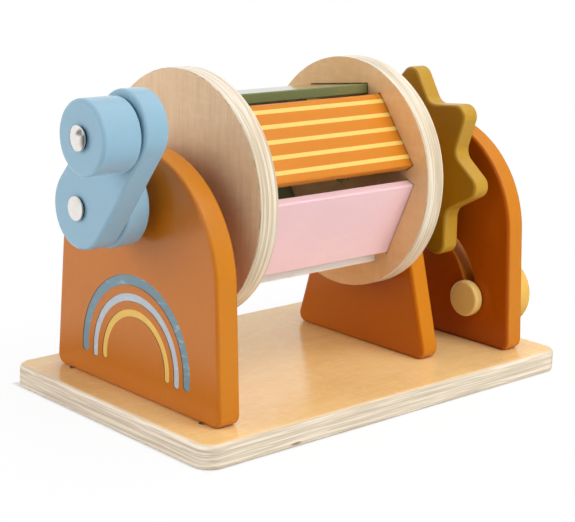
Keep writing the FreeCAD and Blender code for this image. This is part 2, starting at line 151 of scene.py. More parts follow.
class Pencil:
    """Draws in a plane across X, Y or Z, at a depth along that axis."""

    def __init__(self, name, plane, depth, start):
        self.plane, self.depth, self.here = plane, depth, start
        self.piece = add(bpy.ops.mesh.primitive_plane_add, size=MM, location=self.place(start))
        self.piece.name = self.piece.data.name = name
        bpy.ops.object.mode_set(mode="EDIT")
        bpy.ops.mesh.select_mode(type="VERT")
        bpy.ops.mesh.select_all(action="SELECT")
        bpy.ops.mesh.merge(type="CENTER")

    def place(self, point):
        across, up = point
        spots = {
            "YZ": (self.depth, across, up),
            "XZ": (across, self.depth, up),
            "XY": (across, up, self.depth),
        }
        return Vector(spots[self.plane]) * MM

    def line(self, end):
        step = self.place(end) - self.place(self.here)
        if step.length > JOIN:
            bpy.ops.mesh.extrude_region_move(TRANSFORM_OT_translate={"value": step})
        self.here = end

    def arc(self, centre, turn):
        """Go round a centre by so many degrees, counter-clockwise if they are positive."""
        across, up = self.here[0] - centre[0], self.here[1] - centre[1]
        radius = hypot(across, up)
        step = degrees(2 * acos(max(0.0, 1 - SAGITTA / radius)))
        steps = max(2, ceil(abs(turn) / step))
        bpy.ops.mesh.spin(
            steps=steps, angle=-radians(turn), center=self.place(centre),
            axis=SPIN_AXIS[self.plane],
        )
        c, s = cos(radians(turn)), sin(radians(turn))
        self.here = (centre[0] + across * c - up * s, centre[1] + across * s + up * c)

    def lift(self):
        """Join the last vertex to the first, where they meet."""
        bpy.ops.mesh.select_all(action="SELECT")
        bpy.ops.mesh.remove_doubles(threshold=JOIN)
        bpy.ops.mesh.select_all(action="SELECT")
        return self.piece


# %% [markdown]
# ## Rounded corners
# A sawn outline is a list of corners, each with the radius that the saw or the sander gives
# it. For a corner of any angle the arc starts where the circle touches the side, at the
# radius divided by the tangent of half the angle.

# %% Draw an outline with rounded corners


def draw_outline(name, plane, depth, corners):
    """A closed outline of (across, up, rounding) corners, left open in edit mode."""
    turns = []
    for spot, (across, up, rounding) in enumerate(corners):
        here = Vector((across, up))
        back = (Vector(corners[spot - 1][:2]) - here).normalized()
        ahead = (Vector(corners[(spot + 1) % len(corners)][:2]) - here).normalized()
        half = back.angle(ahead) / 2
        side = -1 if back.x * ahead.y - back.y * ahead.x > 0 else 1
        reach = rounding / tan(half)
        centre = here + (back + ahead).normalized() * (rounding / sin(half))
        turns.append((here + back * reach, centre, side * (180 - degrees(2 * half)), rounding))
    pencil = Pencil(name, plane, depth, tuple(turns[0][0]))
    for enter, centre, turn, rounding in turns:
        pencil.line(tuple(enter))
        if rounding:
            pencil.arc(tuple(centre), turn)
    pencil.line(tuple(turns[0][0]))
    return pencil.lift()


# %% [markdown]
# ## A board from an outline
# The outline is filled, drawn out to the board's thickness, and the rims of both faces are
# bevelled in several segments, as a router with a rounding bit runs round them. The bevel
# keeps its width at each vertex, so it isn't allowed to slide.

# %% Fill, draw out and round the rims
PLANE_AXIS = {"YZ": 0, "XZ": 1, "XY": 2}
RIM_ANGLE = 60.0     # two faces that meet at more than this make a rim


def round_rims(piece, axis, depths, edge, segments, near=None):
    """Bevel the edges that lie in some planes across an axis."""
    def is_rim(element):
        middle = (element.verts[0].co + element.verts[1].co) / (2 * MM)
        outer = len(element.link_faces) == 2 and element.calc_face_angle(0) > radians(RIM_ANGLE)
        return outer and (near is None or near(middle)) and any(
            lies_at(element, axis, depth) for depth in depths
        )

    count = pick(piece, "EDGE", is_rim)
    bpy.ops.mesh.bevel(
        offset=edge * MM, segments=segments, affect="EDGES", loop_slide=False,
        clamp_overlap=False,
    )
    return count


def draw_out(piece, plane, depth, thick, edge, segments=5):
    """Turn a closed outline into a board with rounded rims."""
    axis = PLANE_AXIS[plane]
    step = Vector((0, 0, 0))
    step[axis] = thick * MM
    bpy.ops.mesh.edge_face_add()
    bpy.ops.mesh.extrude_region_move(TRANSFORM_OT_translate={"value": step})
    bpy.ops.mesh.select_all(action="SELECT")
    bpy.ops.mesh.normals_make_consistent(inside=False)
    if edge:
        round_rims(piece, axis, (depth, depth + thick), edge, segments)
    close_piece()
    return piece


def board(node, plane, corners, edge, segments=5):
    """A board with an outline of its own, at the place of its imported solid."""
    low, high = [corner[PLANE_AXIS[plane]] for corner in corners_of(node)]
    piece = draw_outline(node + "_finished", plane, low, corners)
    return draw_out(piece, plane, low, high - low, edge, segments)


# %% [markdown]
# ## A piece from the lathe
# A turned piece is half of its section, drawn beside the axis and spun once round. Where the
# section touches the axis the spin leaves a heap of vertices, which are merged to one pole.

# %% Spin a section about the axis
LATHE_STEPS = 112


def turn_on_lathe(piece, middle, plane="YZ", steps=LATHE_STEPS):
    """Spin an open section once round, about the axis across a plane."""
    bpy.ops.mesh.spin(
        steps=steps, angle=2 * pi, center=Vector(middle) * MM, axis=SPIN_AXIS[plane],
    )
    bpy.ops.mesh.select_all(action="SELECT")
    bpy.ops.mesh.remove_doubles(threshold=JOIN)
    bpy.ops.mesh.delete_loose(use_verts=True, use_edges=True, use_faces=False)
    bpy.ops.mesh.select_all(action="SELECT")
    bpy.ops.mesh.normals_make_consistent(inside=False)
    close_piece()
    return piece


def turned(node, bore, edges, y=0.0, z=AXLE_HEIGHT, radius=None, steps=LATHE_STEPS):
    """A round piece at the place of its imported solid, with the roundings of its two rims."""
    low, high = corners_of(node)
    rim = z + (radius or (high.y - low.y) / 2)
    section = [(low.x, z + bore, 0), (high.x, z + bore, 0), (high.x, rim, edges[1]),
               (low.x, rim, edges[0])]
    piece = draw_outline(node + "_finished", "XZ", y, section)
    return turn_on_lathe(piece, (0, y, z), steps=steps)


# %% [markdown]
# ## Cutting
# Holes and grooves are cut with Boolean modifiers. They could be modelled face by face, but a
# cutter has the plain shape of the drill or the router's bit. Each cutter is a mesh of its
# own that is thrown away afterwards. The new faces keep the number of the cutter's material,
# so a groove can be painted in the same step.

# %% Cut and drill


def cut(piece, tools):
    """Take the tools' shapes out of a piece and throw the tools away."""
    only(tools[0])
    for tool in tools:
        tool.select_set(True)
    if len(tools) > 1:
        bpy.ops.object.join()
    tool = bpy.context.active_object
    cutting = piece.modifiers.new("cut", "BOOLEAN")
    cutting.operation, cutting.solver, cutting.object = "DIFFERENCE", "EXACT", tool
    only(piece)
    bpy.ops.object.modifier_apply(modifier=cutting.name)
    bpy.data.objects.remove(tool, do_unlink=True)
    return piece


def drill(radius, low, high, axis="X", sides=48):
    """A round cutter between two places along an axis; low and high are (x, y, z)."""
    middle = (Vector(low) + Vector(high)) / 2
    turn = {"X": (0, pi / 2, 0), "Z": (0, 0, 0)}[axis]
    return add(
        bpy.ops.mesh.primitive_cylinder_add, vertices=sides, radius=radius * MM,
        depth=(Vector(high) - Vector(low)).length * MM, location=middle * MM, rotation=turn,
    )


def drill_across(radius, low_x, high_x, y=0.0, z=AXLE_HEIGHT):
    """A cutter along X that comes out on both sides of a piece."""
    return drill(radius, (low_x - OUTSIDE, y, z), (high_x + OUTSIDE, y, z))


# %% [markdown]
# ## Copies
# What repeats on the toy is made once and copied, as the slats, the caps and the screws are.
# A copy could share its mesh with the first piece, but then it would share the finish too.
# Each copy is turned about the axle or another middle, and that is written into its mesh.

# %% Copy a piece


def copy_piece(piece, name, step=(0, 0, 0), turn=0.0, axis="X", centre=(0, 0, AXLE_HEIGHT)):
    """A copy with a mesh of its own, moved and turned, with its place left in the mesh."""
    only(piece)
    bpy.ops.object.duplicate(linked=False)
    twin = bpy.context.active_object
    twin.name = twin.data.name = name
    if turn:
        middle = Vector(centre) * MM
        bpy.ops.transform.rotate(
            value=-radians(turn), orient_axis=axis, center_override=middle,
        )
    bpy.ops.transform.translate(value=Vector(step) * MM)
    return settle()


# %% [markdown]
# ## Handing a piece over
# A finished piece is painted, smoothed and tied to its part of the frame. Plain smooth shading
# would bend the light across the flats, so only shallow angles are smoothed, and weighted
# normals keep the flats flat. The calls at the end say which body carries the piece, which
# solid it stands for and which paint it has.

# %% Smooth, paint and hand over


def smooth(piece, sharp=38):
    """Smooth shading that keeps the flats flat."""
    only(piece)
    bpy.ops.object.shade_smooth_by_angle(angle=radians(sharp))
    even = piece.modifiers.new("even", "WEIGHTED_NORMAL")
    even.keep_sharp = True
    bpy.ops.object.modifier_apply(modifier=even.name)
    return piece


def dress(piece, finishes):
    """Give a piece its finishes, in place of any that it has."""
    piece.data.materials.clear()
    for finish in finishes:
        piece.data.materials.append(finish)


def paint_faces(piece, number, test):
    """In edit mode, give every face that passes a test one of the piece's finishes."""
    pick(piece, "FACE", test)
    piece.active_material_index = number
    bpy.ops.object.material_slot_assign()


def hand_over(piece, body, node, slot, *finishes):
    """Paint and smooth a finished piece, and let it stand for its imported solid."""
    if finishes:
        dress(piece, finishes)
    smooth(piece)
    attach(piece, body)
    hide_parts(node)
    print(piece.name, "has", len(piece.data.polygons), "faces and rides on", body)
    return piece


# %% [markdown]
# ## Shader sums
# A finish is a network of nodes, and most of them are arithmetic. The class below wraps a
# socket so that `0.3 + 0.1 * mottle` adds its own Math nodes. Colours are mixed by Mix nodes
# only, because a Math node would turn them grey.

# %% A socket that can be added and multiplied


class Amount:
    """The value that comes out of a socket."""

    def __init__(self, network, socket):
        self.network, self.socket = network, socket

    def other(self, name):
        """Another output of the same node."""
        return Amount(self.network, self.socket.node.outputs[name])

    def __add__(self, term):
        return self.network.sum("ADD", self, term)

    def __sub__(self, term):
        return self.network.sum("SUBTRACT", self, term)

    def __rsub__(self, term):
        return self.network.sum("SUBTRACT", term, self)

    def __mul__(self, term):
        return self.network.sum("MULTIPLY", self, term)

    def __truediv__(self, term):
        return self.network.sum("DIVIDE", self, term)

    __radd__ = __add__
    __rmul__ = __mul__


# %% [markdown]
# ## Colours
# A colour is easiest to name as a screen shows it, from 0 to 255, but a socket takes linear
# light. One helper turns the first into the second. Another makes a colour darker or lighter,
# as a coat is where it lies thicker or thinner.

# %% Mix a colour


def shade(red, green, blue):
    """A screen colour of 0 to 255 as the linear colour that a socket takes."""
    def linear(level):
        level = level / 255
        return level / 12.92 if level <= 0.04045 else ((level + 0.055) / 1.055) ** 2.4

    return (linear(red), linear(green), linear(blue), 1.0)


def times(colour, by):
    """A colour made darker or lighter, but never lighter than white."""
    return [min(1.0, part * by) for part in colour[:3]] + [1.0]


# %% [markdown]
# ## A network of nodes
# One method adds any node, with its settings first and its sockets after them. The others are
# short names for the nodes that are used again and again: a soft step from 0 to 1, a mix of
# two colours and a mix of two shaders. The air needs them as well as the finishes do, so they
# stand in a class of their own.

# %% Add nodes to any network


class Network:
    """The nodes of a material or of the world."""

    def __init__(self, tree):
        self.nodes, self.links = tree.nodes, tree.links

    def feed(self, socket, value):
        if isinstance(value, Amount):
            self.links.new(value.socket, socket)
        else:
            socket.default_value = value

    def node(self, kind, settings=None, sockets=None, out=0):
        made = self.nodes.new(kind)
        for setting, value in (settings or {}).items():
            setattr(made, setting, value)
        for socket, value in (sockets or {}).items():
            self.feed(made.inputs[socket], value)
        return made if out is None else Amount(self, made.outputs[out])

    def sum(self, operation, *terms):
        return self.node("ShaderNodeMath", {"operation": operation}, dict(enumerate(terms)))

    def split(self, vector):
        """The X, Y and Z of a vector."""
        x = self.node("ShaderNodeSeparateXYZ", sockets={0: vector})
        return {"X": x, "Y": x.other("Y"), "Z": x.other("Z")}

    def step(self, value, low, high):
        """0 below low, 1 above high, and smooth between them."""
        return self.node(
            "ShaderNodeMapRange", {"interpolation_type": "SMOOTHSTEP"},
            {"Value": value, "From Min": low, "From Max": high},
        )

    def mix(self, share, first, second):
        """A colour between two colours, by a share of the second."""
        return self.node(
            "ShaderNodeMix", {"data_type": "RGBA"}, {0: share, 6: first, 7: second}, out=2,
        )

    def tint(self, colour, value, low, high, share, tone):
        """A colour with a share of a tone wherever a value has gone from low to high."""
        return self.mix(self.step(value, low, high) * share, colour, tone)

    def along(self, direction, other):
        """How far one direction points along another, from -1 to 1."""
        return self.node("ShaderNodeVectorMath", {"operation": "DOT_PRODUCT"},
                         {0: direction, 1: other}, out="Value")

    def either(self, share, first, second):
        """One shader turning into a second by a share of it."""
        return self.node("ShaderNodeMixShader", sockets={0: share, 1: first, 2: second})


# %% [markdown]
# ## A finish
# The finish of a piece starts at its shader and at the place of each point on the piece. Noise
# is stretched along the grain, and a bump has a height in millimetres, so that both are as
# large as they are on the real wood. A picture could be wrapped round the piece instead, but
# it would show a seam.

# %% Make a finish


class Finish(Network):
    """The nodes of a material, which start at its shader and its place on the piece."""

    def __init__(self, name, **constants):
        self.material = bpy.data.materials.new(name)
        self.material.use_nodes = True
        super().__init__(self.material.node_tree)
        self.shader = self.nodes["Principled BSDF"]
        for socket, value in constants.items():
            self.shader.inputs[socket.replace("_", " ")].default_value = value
        self.place = self.node("ShaderNodeTexCoord", out="Object")

    def looks(self):
        """The direction that the surface faces, as X, Y and Z."""
        return self.split(self.node("ShaderNodeTexCoord", out="Normal"))

    def beyond(self, half_sides):
        """How far a place lies outside a rectangle about the middle, in millimetres."""
        place = self.split(self.place)
        return self.sum("MAXIMUM", self.sum("ABSOLUTE", place["X"]) / MM - half_sides[0],
                        self.sum("ABSOLUTE", place["Y"]) / MM - half_sides[1])

    def noise(self, size, stretch=(1, 1, 1), detail=2.0, rough=0.5, shift=0.0, warp=0.0):
        """Noise whose grains are about a size in millimetres, times a stretch per axis."""
        scale = [1 / (size * MM * part) for part in stretch]
        where = self.node(
            "ShaderNodeMapping", sockets={"Vector": self.place, "Scale": scale,
                                          "Location": (shift, shift, shift)},
        )
        return self.node(
            "ShaderNodeTexNoise",
            sockets={"Vector": where, "Scale": 1.0, "Detail": detail, "Roughness": rough,
                     "Distortion": warp},
        )

    def bump(self, height, size, before=None):
        """A bump whose full height, from 0 to 1, is a size in millimetres."""
        sockets = {"Height": height, "Distance": size * MM, "Strength": 1.0}
        if before:
            sockets["Normal"] = before
        return self.node("ShaderNodeBump", sockets=sockets)

    def finish(self, **sockets):
        """Link the finished values to the shader."""
        for socket, value in sockets.items():
            self.feed(self.shader.inputs[socket.replace("_", " ")], value)
        return self.material


# %% [markdown]
# ## Painted wood
# The uprights, the slats, the crank and the sun are sprayed with a satin paint. Up close such a coat
# has a slight orange peel, a faint print of the grain beneath it, clouds where it lies a little
# thicker, and a few specks of dust that were rubbed down. It could be a plain colour with a gloss, but
# then a large flat face looks like plastic. On the uprights and the sun the broad faces across X take
# a deeper colour and the edges a lighter, more golden one: painted shade on the faces that turn away
# from the lamps, and painted light on the lit edges.

# %% A satin paint
PAINT_GLOSS, CLOUD_GLOSS, MOTTLE_GLOSS = 0.22, 0.06, 0.05
CLOUD_TONE, GRAIN_TONE, DUST_TONE = 0.035, 0.035, 0.12
PRINT_HEIGHT, PEEL_HEIGHT, DUST_HEIGHT = 0.006, 0.004, 0.012
DUST = (0.9, 0.88, 0.84, 1)
GRAIN_STRETCH = {"X": (14, 1, 1), "Z": (1, 1, 14)}


def paint_layers(paint, colour, grain="Z", shine=PAINT_GLOSS):
    """The clouds, grain print and peel of a sprayed coat: its colour, gloss and bump."""
    clouds = paint.noise(38, detail=3)
    mottle = paint.noise(3.2, detail=3)
    print_through = paint.noise(1.3, GRAIN_STRETCH[grain], detail=3, rough=0.6)
    peel = paint.noise(1.4, detail=1)
    dust = paint.step(paint.noise(0.8, detail=0, shift=31.0), 0.82, 0.87)
    thin = paint.mix(clouds, times(colour, 1 - CLOUD_TONE), times(colour, 1 + CLOUD_TONE))
    fine = 0.45 * mottle + 0.55 * print_through
    toned = paint.tint(thin, fine, 0.32, 0.68, GRAIN_TONE, times(colour, 0.3))
    speckled = paint.mix(dust * DUST_TONE, toned, DUST)
    gloss = shine + CLOUD_GLOSS * (clouds - 0.5) + MOTTLE_GLOSS * (mottle - 0.5)
    relief = paint.bump(peel, PEEL_HEIGHT, paint.bump(dust, DUST_HEIGHT))
    return speckled, gloss, paint.bump(print_through, PRINT_HEIGHT, relief)


def painted(name, colour, grain="Z", shine=PAINT_GLOSS, edge=None, ior=1.5):
    """A coat in one colour, or with a second, lighter colour painted on the edges of a board across X
    for the light that falls there.
    """
    paint = Finish(name, IOR=ior)
    base, gloss, relief = paint_layers(paint, colour, grain, shine)
    if edge:
        # painted light and shade: faces across X keep the deeper colour, and the edges take the
        # lighter one as the light that falls on them
        sides = 1 - paint.step(paint.sum("ABSOLUTE", paint.looks()["X"]), 0.20, 0.80)
        base = paint.mix(sides, base, paint_layers(paint, edge, grain, shine)[0])
    return paint.finish(Base_Color=base, Roughness=gloss, Normal=relief)


# %% [markdown]
# ## The toy's colours
# The uprights are one caramel in three tones: the post and the last upright take darker copies of it,
# a painted shade for the shade that they stand in. The crank is sky blue, the sun is mustard, and
# every slat has a colour of its own. A colour could be typed where it is used, but with a name it can
# be compared with the others and changed in one place.

# %% Mix the paints
CARAMEL = shade(198, 113, 18)
# painted shade: the post and the last upright have the front arch's caramel, given darker here for the
# shade they stand in
SHADED_POST_CARAMEL = shade(186, 99, 3)
SHADED_REAR_CARAMEL = shade(174, 82, 2)
# painted light: lighter colours for the edges of the uprights and the sun, where the lamps fall
LIT_GOLDEN_EDGE = shade(205, 126, 27)
LIT_PALE_EDGE = shade(204, 126, 36)
SKY_BLUE = shade(145, 182, 202)
MUSTARD = shade(160, 119, 10)
LIT_MUSTARD_EDGE = shade(191, 147, 45)
ORANGE = shade(212, 129, 33)
GREEN = shade(114, 120, 74)
PINK = shade(240, 203, 208)
WHITE = shade(252, 249, 243)
GREY_BLUE = shade(150, 178, 190)
SAGE = shade(140, 150, 116)
BUTTER = shade(232, 186, 92)
CREAM = shade(240, 205, 124)

caramel_paint = painted("caramel_paint", CARAMEL, edge=LIT_GOLDEN_EDGE)
shaded_post_paint = painted("shaded_post_paint", SHADED_POST_CARAMEL, edge=LIT_GOLDEN_EDGE, ior=1.33)
shaded_rear_paint = painted("shaded_rear_paint", SHADED_REAR_CARAMEL, edge=LIT_PALE_EDGE, ior=1.33)
blue_paint = painted("blue_paint", SKY_BLUE)
mustard_paint = painted("mustard_paint", MUSTARD, shine=0.34, edge=LIT_MUSTARD_EDGE)
green_paint = painted("green_paint", GREEN, "X", shine=0.12, ior=1.75)
pink_paint = painted("pink_paint", PINK, "X")
white_paint = painted("white_paint", WHITE, "X")
sky_paint = painted("sky_paint", GREY_BLUE, "X")
sage_paint = painted("sage_paint", SAGE, "X")
butter_paint = painted("butter_paint", BUTTER)
cream_paint = painted("cream_paint", CREAM)
print("twelve paints are mixed")

# %% [markdown]
# ## Stripes on one slat
# One slat has five printed stripes along it, on its outer face only. Their place is measured
# across the slat, and because the slat is turned round the drum that direction is a sum of Y
# and Z. The face is told from the slat's sides by the direction that it looks in.

# %% A striped paint
DRUM_ANGLE = 37.1
STRIPES = (19.0, 9.8, 0.4, -9.0, -18.2)
STRIPE_WIDTH, STRIPE_BLUR, STRIPE_HEIGHT = 2.6, 0.12, 0.02


def striped(name, colour, stripe_colour, angle):
    paint = Finish(name, IOR=1.5)
    base, gloss, relief = paint_layers(paint, colour, "X")
    place, looks = paint.split(paint.place), paint.looks()
    s, c = sin(radians(angle)), cos(radians(angle))
    wander = 0.16 * (paint.noise(5, (4, 1, 1)) - 0.5)
    across = (place["Y"] * s + place["Z"] * c) / MM - AXLE_HEIGHT * c + wander
    outward = looks["Z"] * s - looks["Y"] * c
    half = STRIPE_WIDTH / 2
    printed = 0.0
    for middle in STRIPES:
        off = paint.sum("ABSOLUTE", across - middle)
        printed = printed + (1 - paint.step(off, half - STRIPE_BLUR, half + STRIPE_BLUR))
    printed = printed * paint.step(outward, 0.55, 0.75)
    ink = paint.mix(paint.noise(2.5, (6, 1, 1), detail=3) * 0.25, stripe_colour,
                    times(stripe_colour, 0.86))
    return paint.finish(
        Base_Color=paint.mix(printed, base, ink), Roughness=gloss - 0.03 * printed,
        Normal=paint.bump(printed, STRIPE_HEIGHT, relief),
    )


orange_striped_paint = striped("orange_striped_paint", ORANGE, shade(240, 203, 108), DRUM_ANGLE)

# %% [markdown]
# ## Plywood
# The base and the discs are bare plywood. On a sawn edge the veneers show as tan and paler
# layers of unequal thickness, because the fibres of a layer either lie along the edge or end
# in it. A layer that is pale on one side is therefore tan round the corner. Each veneer that
# is pale where the fibres lie along is given by the two heights between which it lies. The
# fine lines are noise that is thin across the veneers and long in the two other directions,
# so they run round a corner or a rim.

# %% Stack the veneers and saw the edge
GLUE_LINE = 0.2     # half of the height over which one veneer gives way to the next


def stretched(axes, by):
    """A stretch of noise along some of the axes."""
    return tuple(by if letter in axes else 1 for letter in "XYZ")


def veneer_at(wood, across, along, low, pale_veneers):
    """How pale the wood shows in the layer of a point, and whether its fibres are crossed."""
    wave = 0.4 * (wood.noise(34, detail=2) - 0.5)
    depth = wood.split(wood.place)[across] / MM - low + wave
    pale = 0.0
    for bottom, top, share in pale_veneers:
        inside = wood.step(depth, bottom - GLUE_LINE, bottom + GLUE_LINE)
        pale = pale + share * (inside - wood.step(depth, top - GLUE_LINE, top + GLUE_LINE))
    # where the fibres end the edge takes the cross tones, which are set lighter: on the base's ends
    # and the tops of the discs' rims this is partly painted light and sheen
    crossed = wood.step(wood.sum("ABSOLUTE", wood.looks()[along]), 0.45, 0.85)
    return pale + crossed * (1 - 2 * pale), crossed


def sawn_edge(wood, across, pale, crossed, tones):
    """Tan and pale layers with streaks, thin lines, pores and warmer stretches."""
    layered = "XYZ".replace(across, "")
    streaks = wood.noise(0.9, stretched(layered, 30), detail=3, rough=0.6)
    thin = wood.noise(0.8, stretched(layered, 50), detail=2, shift=7.0)
    pores = wood.noise(0.4, stretched(layered, 3), detail=1, shift=19.0)
    warmth = wood.noise(1.6, stretched(layered, 16), detail=2, shift=4.0)
    share = pale + 0.9 * (streaks - 0.5)
    edge = wood.mix(crossed, wood.mix(share, tones["tan"], tones["pale"]),
                    wood.mix(share, tones["cross_tan"], tones["cross_pale"]))
    edge = wood.tint(edge, warmth, 0.50, 0.72, 0.35, tones["peach"])
    edge = wood.tint(edge, thin, 0.50, 0.59, 0.52, tones["line"])
    edge = wood.mix((1 - wood.step(thin, 0.36, 0.44)) * 0.60, edge, tones["cross_pale"])
    return wood.tint(edge, pores, 0.58, 0.74, 0.18, tones["line"]), streaks


# %% [markdown]
# ## The lacquered face
# The face of a sheet is one veneer under lacquer. It has soft clouds and waves, fibre lines
# along the grain, silky ripples across it and the pale rings of the tree. Each of them is
# noise that is stretched one way, since wood grows one way. A picture of wood would be
# quicker, but it would repeat and stop at the edges.

# %% Lay the face veneer
RING_COUNT = 12


def lacquered_face(wood, across, along, tones):
    """Clouds, a wavy figure, silky ripples, growth rings, fibre lines and flecks."""
    other = "XYZ".replace(across, "").replace(along, "")
    clouds = wood.noise(48, stretched(along, 2.2), detail=2, shift=3.0)
    figure = wood.noise(9, stretched(along, 3.0), detail=4, rough=0.55, warp=1.6)
    curl = wood.noise(4.5, stretched(other, 3.5), detail=3, shift=11.0, warp=0.7)
    lines = wood.noise(0.8, stretched(along, 45), detail=4, rough=0.6)
    flecks = wood.noise(0.38, stretched(along, 9), detail=1, shift=17.0)
    heart = wood.noise(26, stretched(along, 3.0), detail=3, shift=5.0, warp=0.6)
    rings = 1 - wood.step(wood.sum("PINGPONG", heart * RING_COUNT, 0.5), 0.0, 0.14)
    face = wood.mix(wood.step(0.6 * clouds + 0.4 * figure, 0.35, 0.65),
                    tones["face_dark"], tones["face"])
    face = wood.tint(face, curl, 0.42, 0.72, 0.30, tones["face_light"])
    face = wood.mix(rings * tones["ring_share"], face, tones["face_light"])
    face = wood.tint(face, lines, 0.42, 0.68, tones["line_share"], tones["pore"])
    return wood.tint(face, flecks, 0.66, 0.74, 0.10, tones["pore"]), figure, lines


# %% [markdown]
# ## A whole sheet
# The face is told from the edge by the direction that it looks in. The sander leaves a broken brown
# line where an edge is eased, and rubs the lacquer thin beside it. There the face is painted paler,
# which also stands in for the highlight where the rounded edge catches the light. A knot is a small
# round body inside the wood, so that it shows on the edge and on the face alike.

# %% Put a sheet together
SAWN_HEIGHT = 0.04


def scorched(wood, colour, square_on, share, tone):
    """The broken brown line that the sander leaves where an edge is eased."""
    eased = wood.step(square_on, 0.35, 0.70) * (1 - wood.step(square_on, 0.93, 0.995))
    touched = wood.step(wood.noise(5.5, detail=3, shift=23.0), 0.46, 0.60)
    return wood.mix(eased * touched * share, colour, tone)


def knotted(wood, colour, spot, reach, tone):
    """A knot with a rough edge, at a spot and as large as its reach along X, Y and Z."""
    place, apart = wood.split(wood.place), 0.0
    for axis, middle, half in zip("XYZ", spot, reach):
        off = (place[axis] / MM - middle) / half
        apart = apart + off * off
    apart = apart + 0.9 * (wood.noise(1.1, detail=3, shift=29.0) - 0.5)
    return wood.mix((1 - wood.step(apart, 0.1, 1.2)) * 0.85, colour, tone)


def plywood(name, across, along, low, pale_veneers, tones, knots=(), scorch=0.0, rubbed_and_highlit=None):
    """Veneers stacked across one axis from a low place, with the face's grain along another."""
    wood = Finish(name, IOR=tones["ior"])
    pale, crossed = veneer_at(wood, across, along, low, pale_veneers)
    edge, streaks = sawn_edge(wood, across, pale, crossed, tones)
    face, figure, lines = lacquered_face(wood, across, along, tones)
    # painted highlight and wear: the face is made paler beside the eased edge, for lacquer rubbed thin
    # and for the light that the rounding catches
    if rubbed_and_highlit:     # the lacquer is thin beside the eased edge of a board with these half sides
        face = wood.tint(face, wood.beyond(rubbed_and_highlit), -5.0, -1.0, 0.22, tones["cross_pale"])
    square_on = wood.sum("ABSOLUTE", wood.looks()[across])
    is_face = wood.step(square_on, 0.80, 0.985)
    colour = wood.mix(is_face, edge, face)
    if scorch:
        colour = scorched(wood, colour, square_on, scorch, tones["scorch"])
    for spot, reach in knots:
        colour = knotted(wood, colour, spot, reach, tones["knot"])
    polish = tones["edge_gloss"] + (tones["face_gloss"] - tones["edge_gloss"]) * is_face
    polish = polish + 0.10 * (streaks - 0.5) * (1 - is_face) + 0.04 * (figure - 0.5)
    relief = wood.bump(streaks * (1 - is_face), SAWN_HEIGHT)
    relief = wood.bump(lines, tones["relief"], relief)
    return wood.finish(Base_Color=colour, Roughness=polish, Normal=relief)


# %% [markdown]
# ## Three sheets of plywood
# The base is pale birch under a glossy lacquer. The discs come from darker sheets and shine
# less. Each sheet could have its whole list of tones, but a disc's list only names what
# differs from the sheet before it. The pale veneers are counted from the low side of a board.

# %% The tones of each plywood
# the cross tones are lighter partly as painted light and sheen on the base's ends and the tops of the
# discs' rims
BASE_TONES = {
    "tan": shade(219, 205, 181), "pale": shade(241, 229, 208), "peach": shade(236, 214, 184),
    "cross_tan": shade(230, 214, 192), "cross_pale": shade(252, 237, 216),
    "line": shade(194, 177, 154), "face": shade(250, 211, 144), "face_dark": shade(243, 200, 130),
    "face_light": shade(253, 221, 164), "pore": shade(206, 156, 100),
    "scorch": shade(150, 104, 62), "knot": shade(138, 94, 64), "ring_share": 0.42,
    "line_share": 0.10, "face_gloss": 0.20, "edge_gloss": 0.40, "relief": 0.006, "ior": 1.62,
}
FRONT_DISC_TONES = dict(
    BASE_TONES, tan=shade(206, 189, 160), pale=shade(232, 219, 197), peach=shade(222, 200, 168),
    cross_tan=shade(212, 198, 175), cross_pale=shade(236, 224, 206), line=shade(180, 162, 134),
    face=shade(236, 201, 161), face_dark=shade(225, 188, 147), face_light=shade(243, 213, 178),
    pore=shade(172, 126, 86), ring_share=0.12, line_share=0.16, face_gloss=0.38,
    edge_gloss=0.34, relief=0.012, ior=1.5,
)
REAR_DISC_TONES = dict(
    FRONT_DISC_TONES, tan=shade(215, 199, 170), cross_tan=shade(221, 207, 184),
    face=shade(238, 194, 140), face_dark=shade(229, 180, 124), face_light=shade(244, 207, 160),
    line_share=0.05, relief=0.006,
)
base_plywood = plywood(
    "base_plywood", "Z", "X", base_low.z,
    [(2.2, 3.9, 1.0), (6.0, 7.4, 0.9), (9.5, 10.9, 1.0)], BASE_TONES,
    knots=[((-82.5, -90.0, 1.9), (4.4, 3.0, 0.9))], rubbed_and_highlit=(base_high.x, base_high.y),
)
front_disc_low, front_disc_high = corners_of("front_disc")
rear_disc_low = corners_of("rear_disc")[0]
front_disc_plywood = plywood(
    "front_disc_plywood", "X", "Z", front_disc_low.x,
    [(2.6, 4.0, 0.7), (6.0, 7.4, 0.7), (9.5, 11.5, 1.0), (12.7, 20.0, 0.9)], FRONT_DISC_TONES,
    scorch=0.55,
)
rear_disc_plywood = plywood(
    "rear_disc_plywood", "X", "Z", rear_disc_low.x,
    [(1.8, 6.4, 0.9), (9.0, 10.4, 0.6), (12.7, 20.0, 0.9)], REAR_DISC_TONES, scorch=0.35,
)
print("three plywoods are mixed")

# %% [markdown]
# ## Turned nickel
# The push caps are nickel plated and turned, so they carry fine rings about their own middle.
# The rings could be cut into the mesh, but they are finer than a hair. So the surface only
# looks as if it leaned in and out along the radius.

# %% Plate a cap
GROOVE_LEAN, GROOVE_RATE, GROOVE_WANDER = 0.07, 30, 4


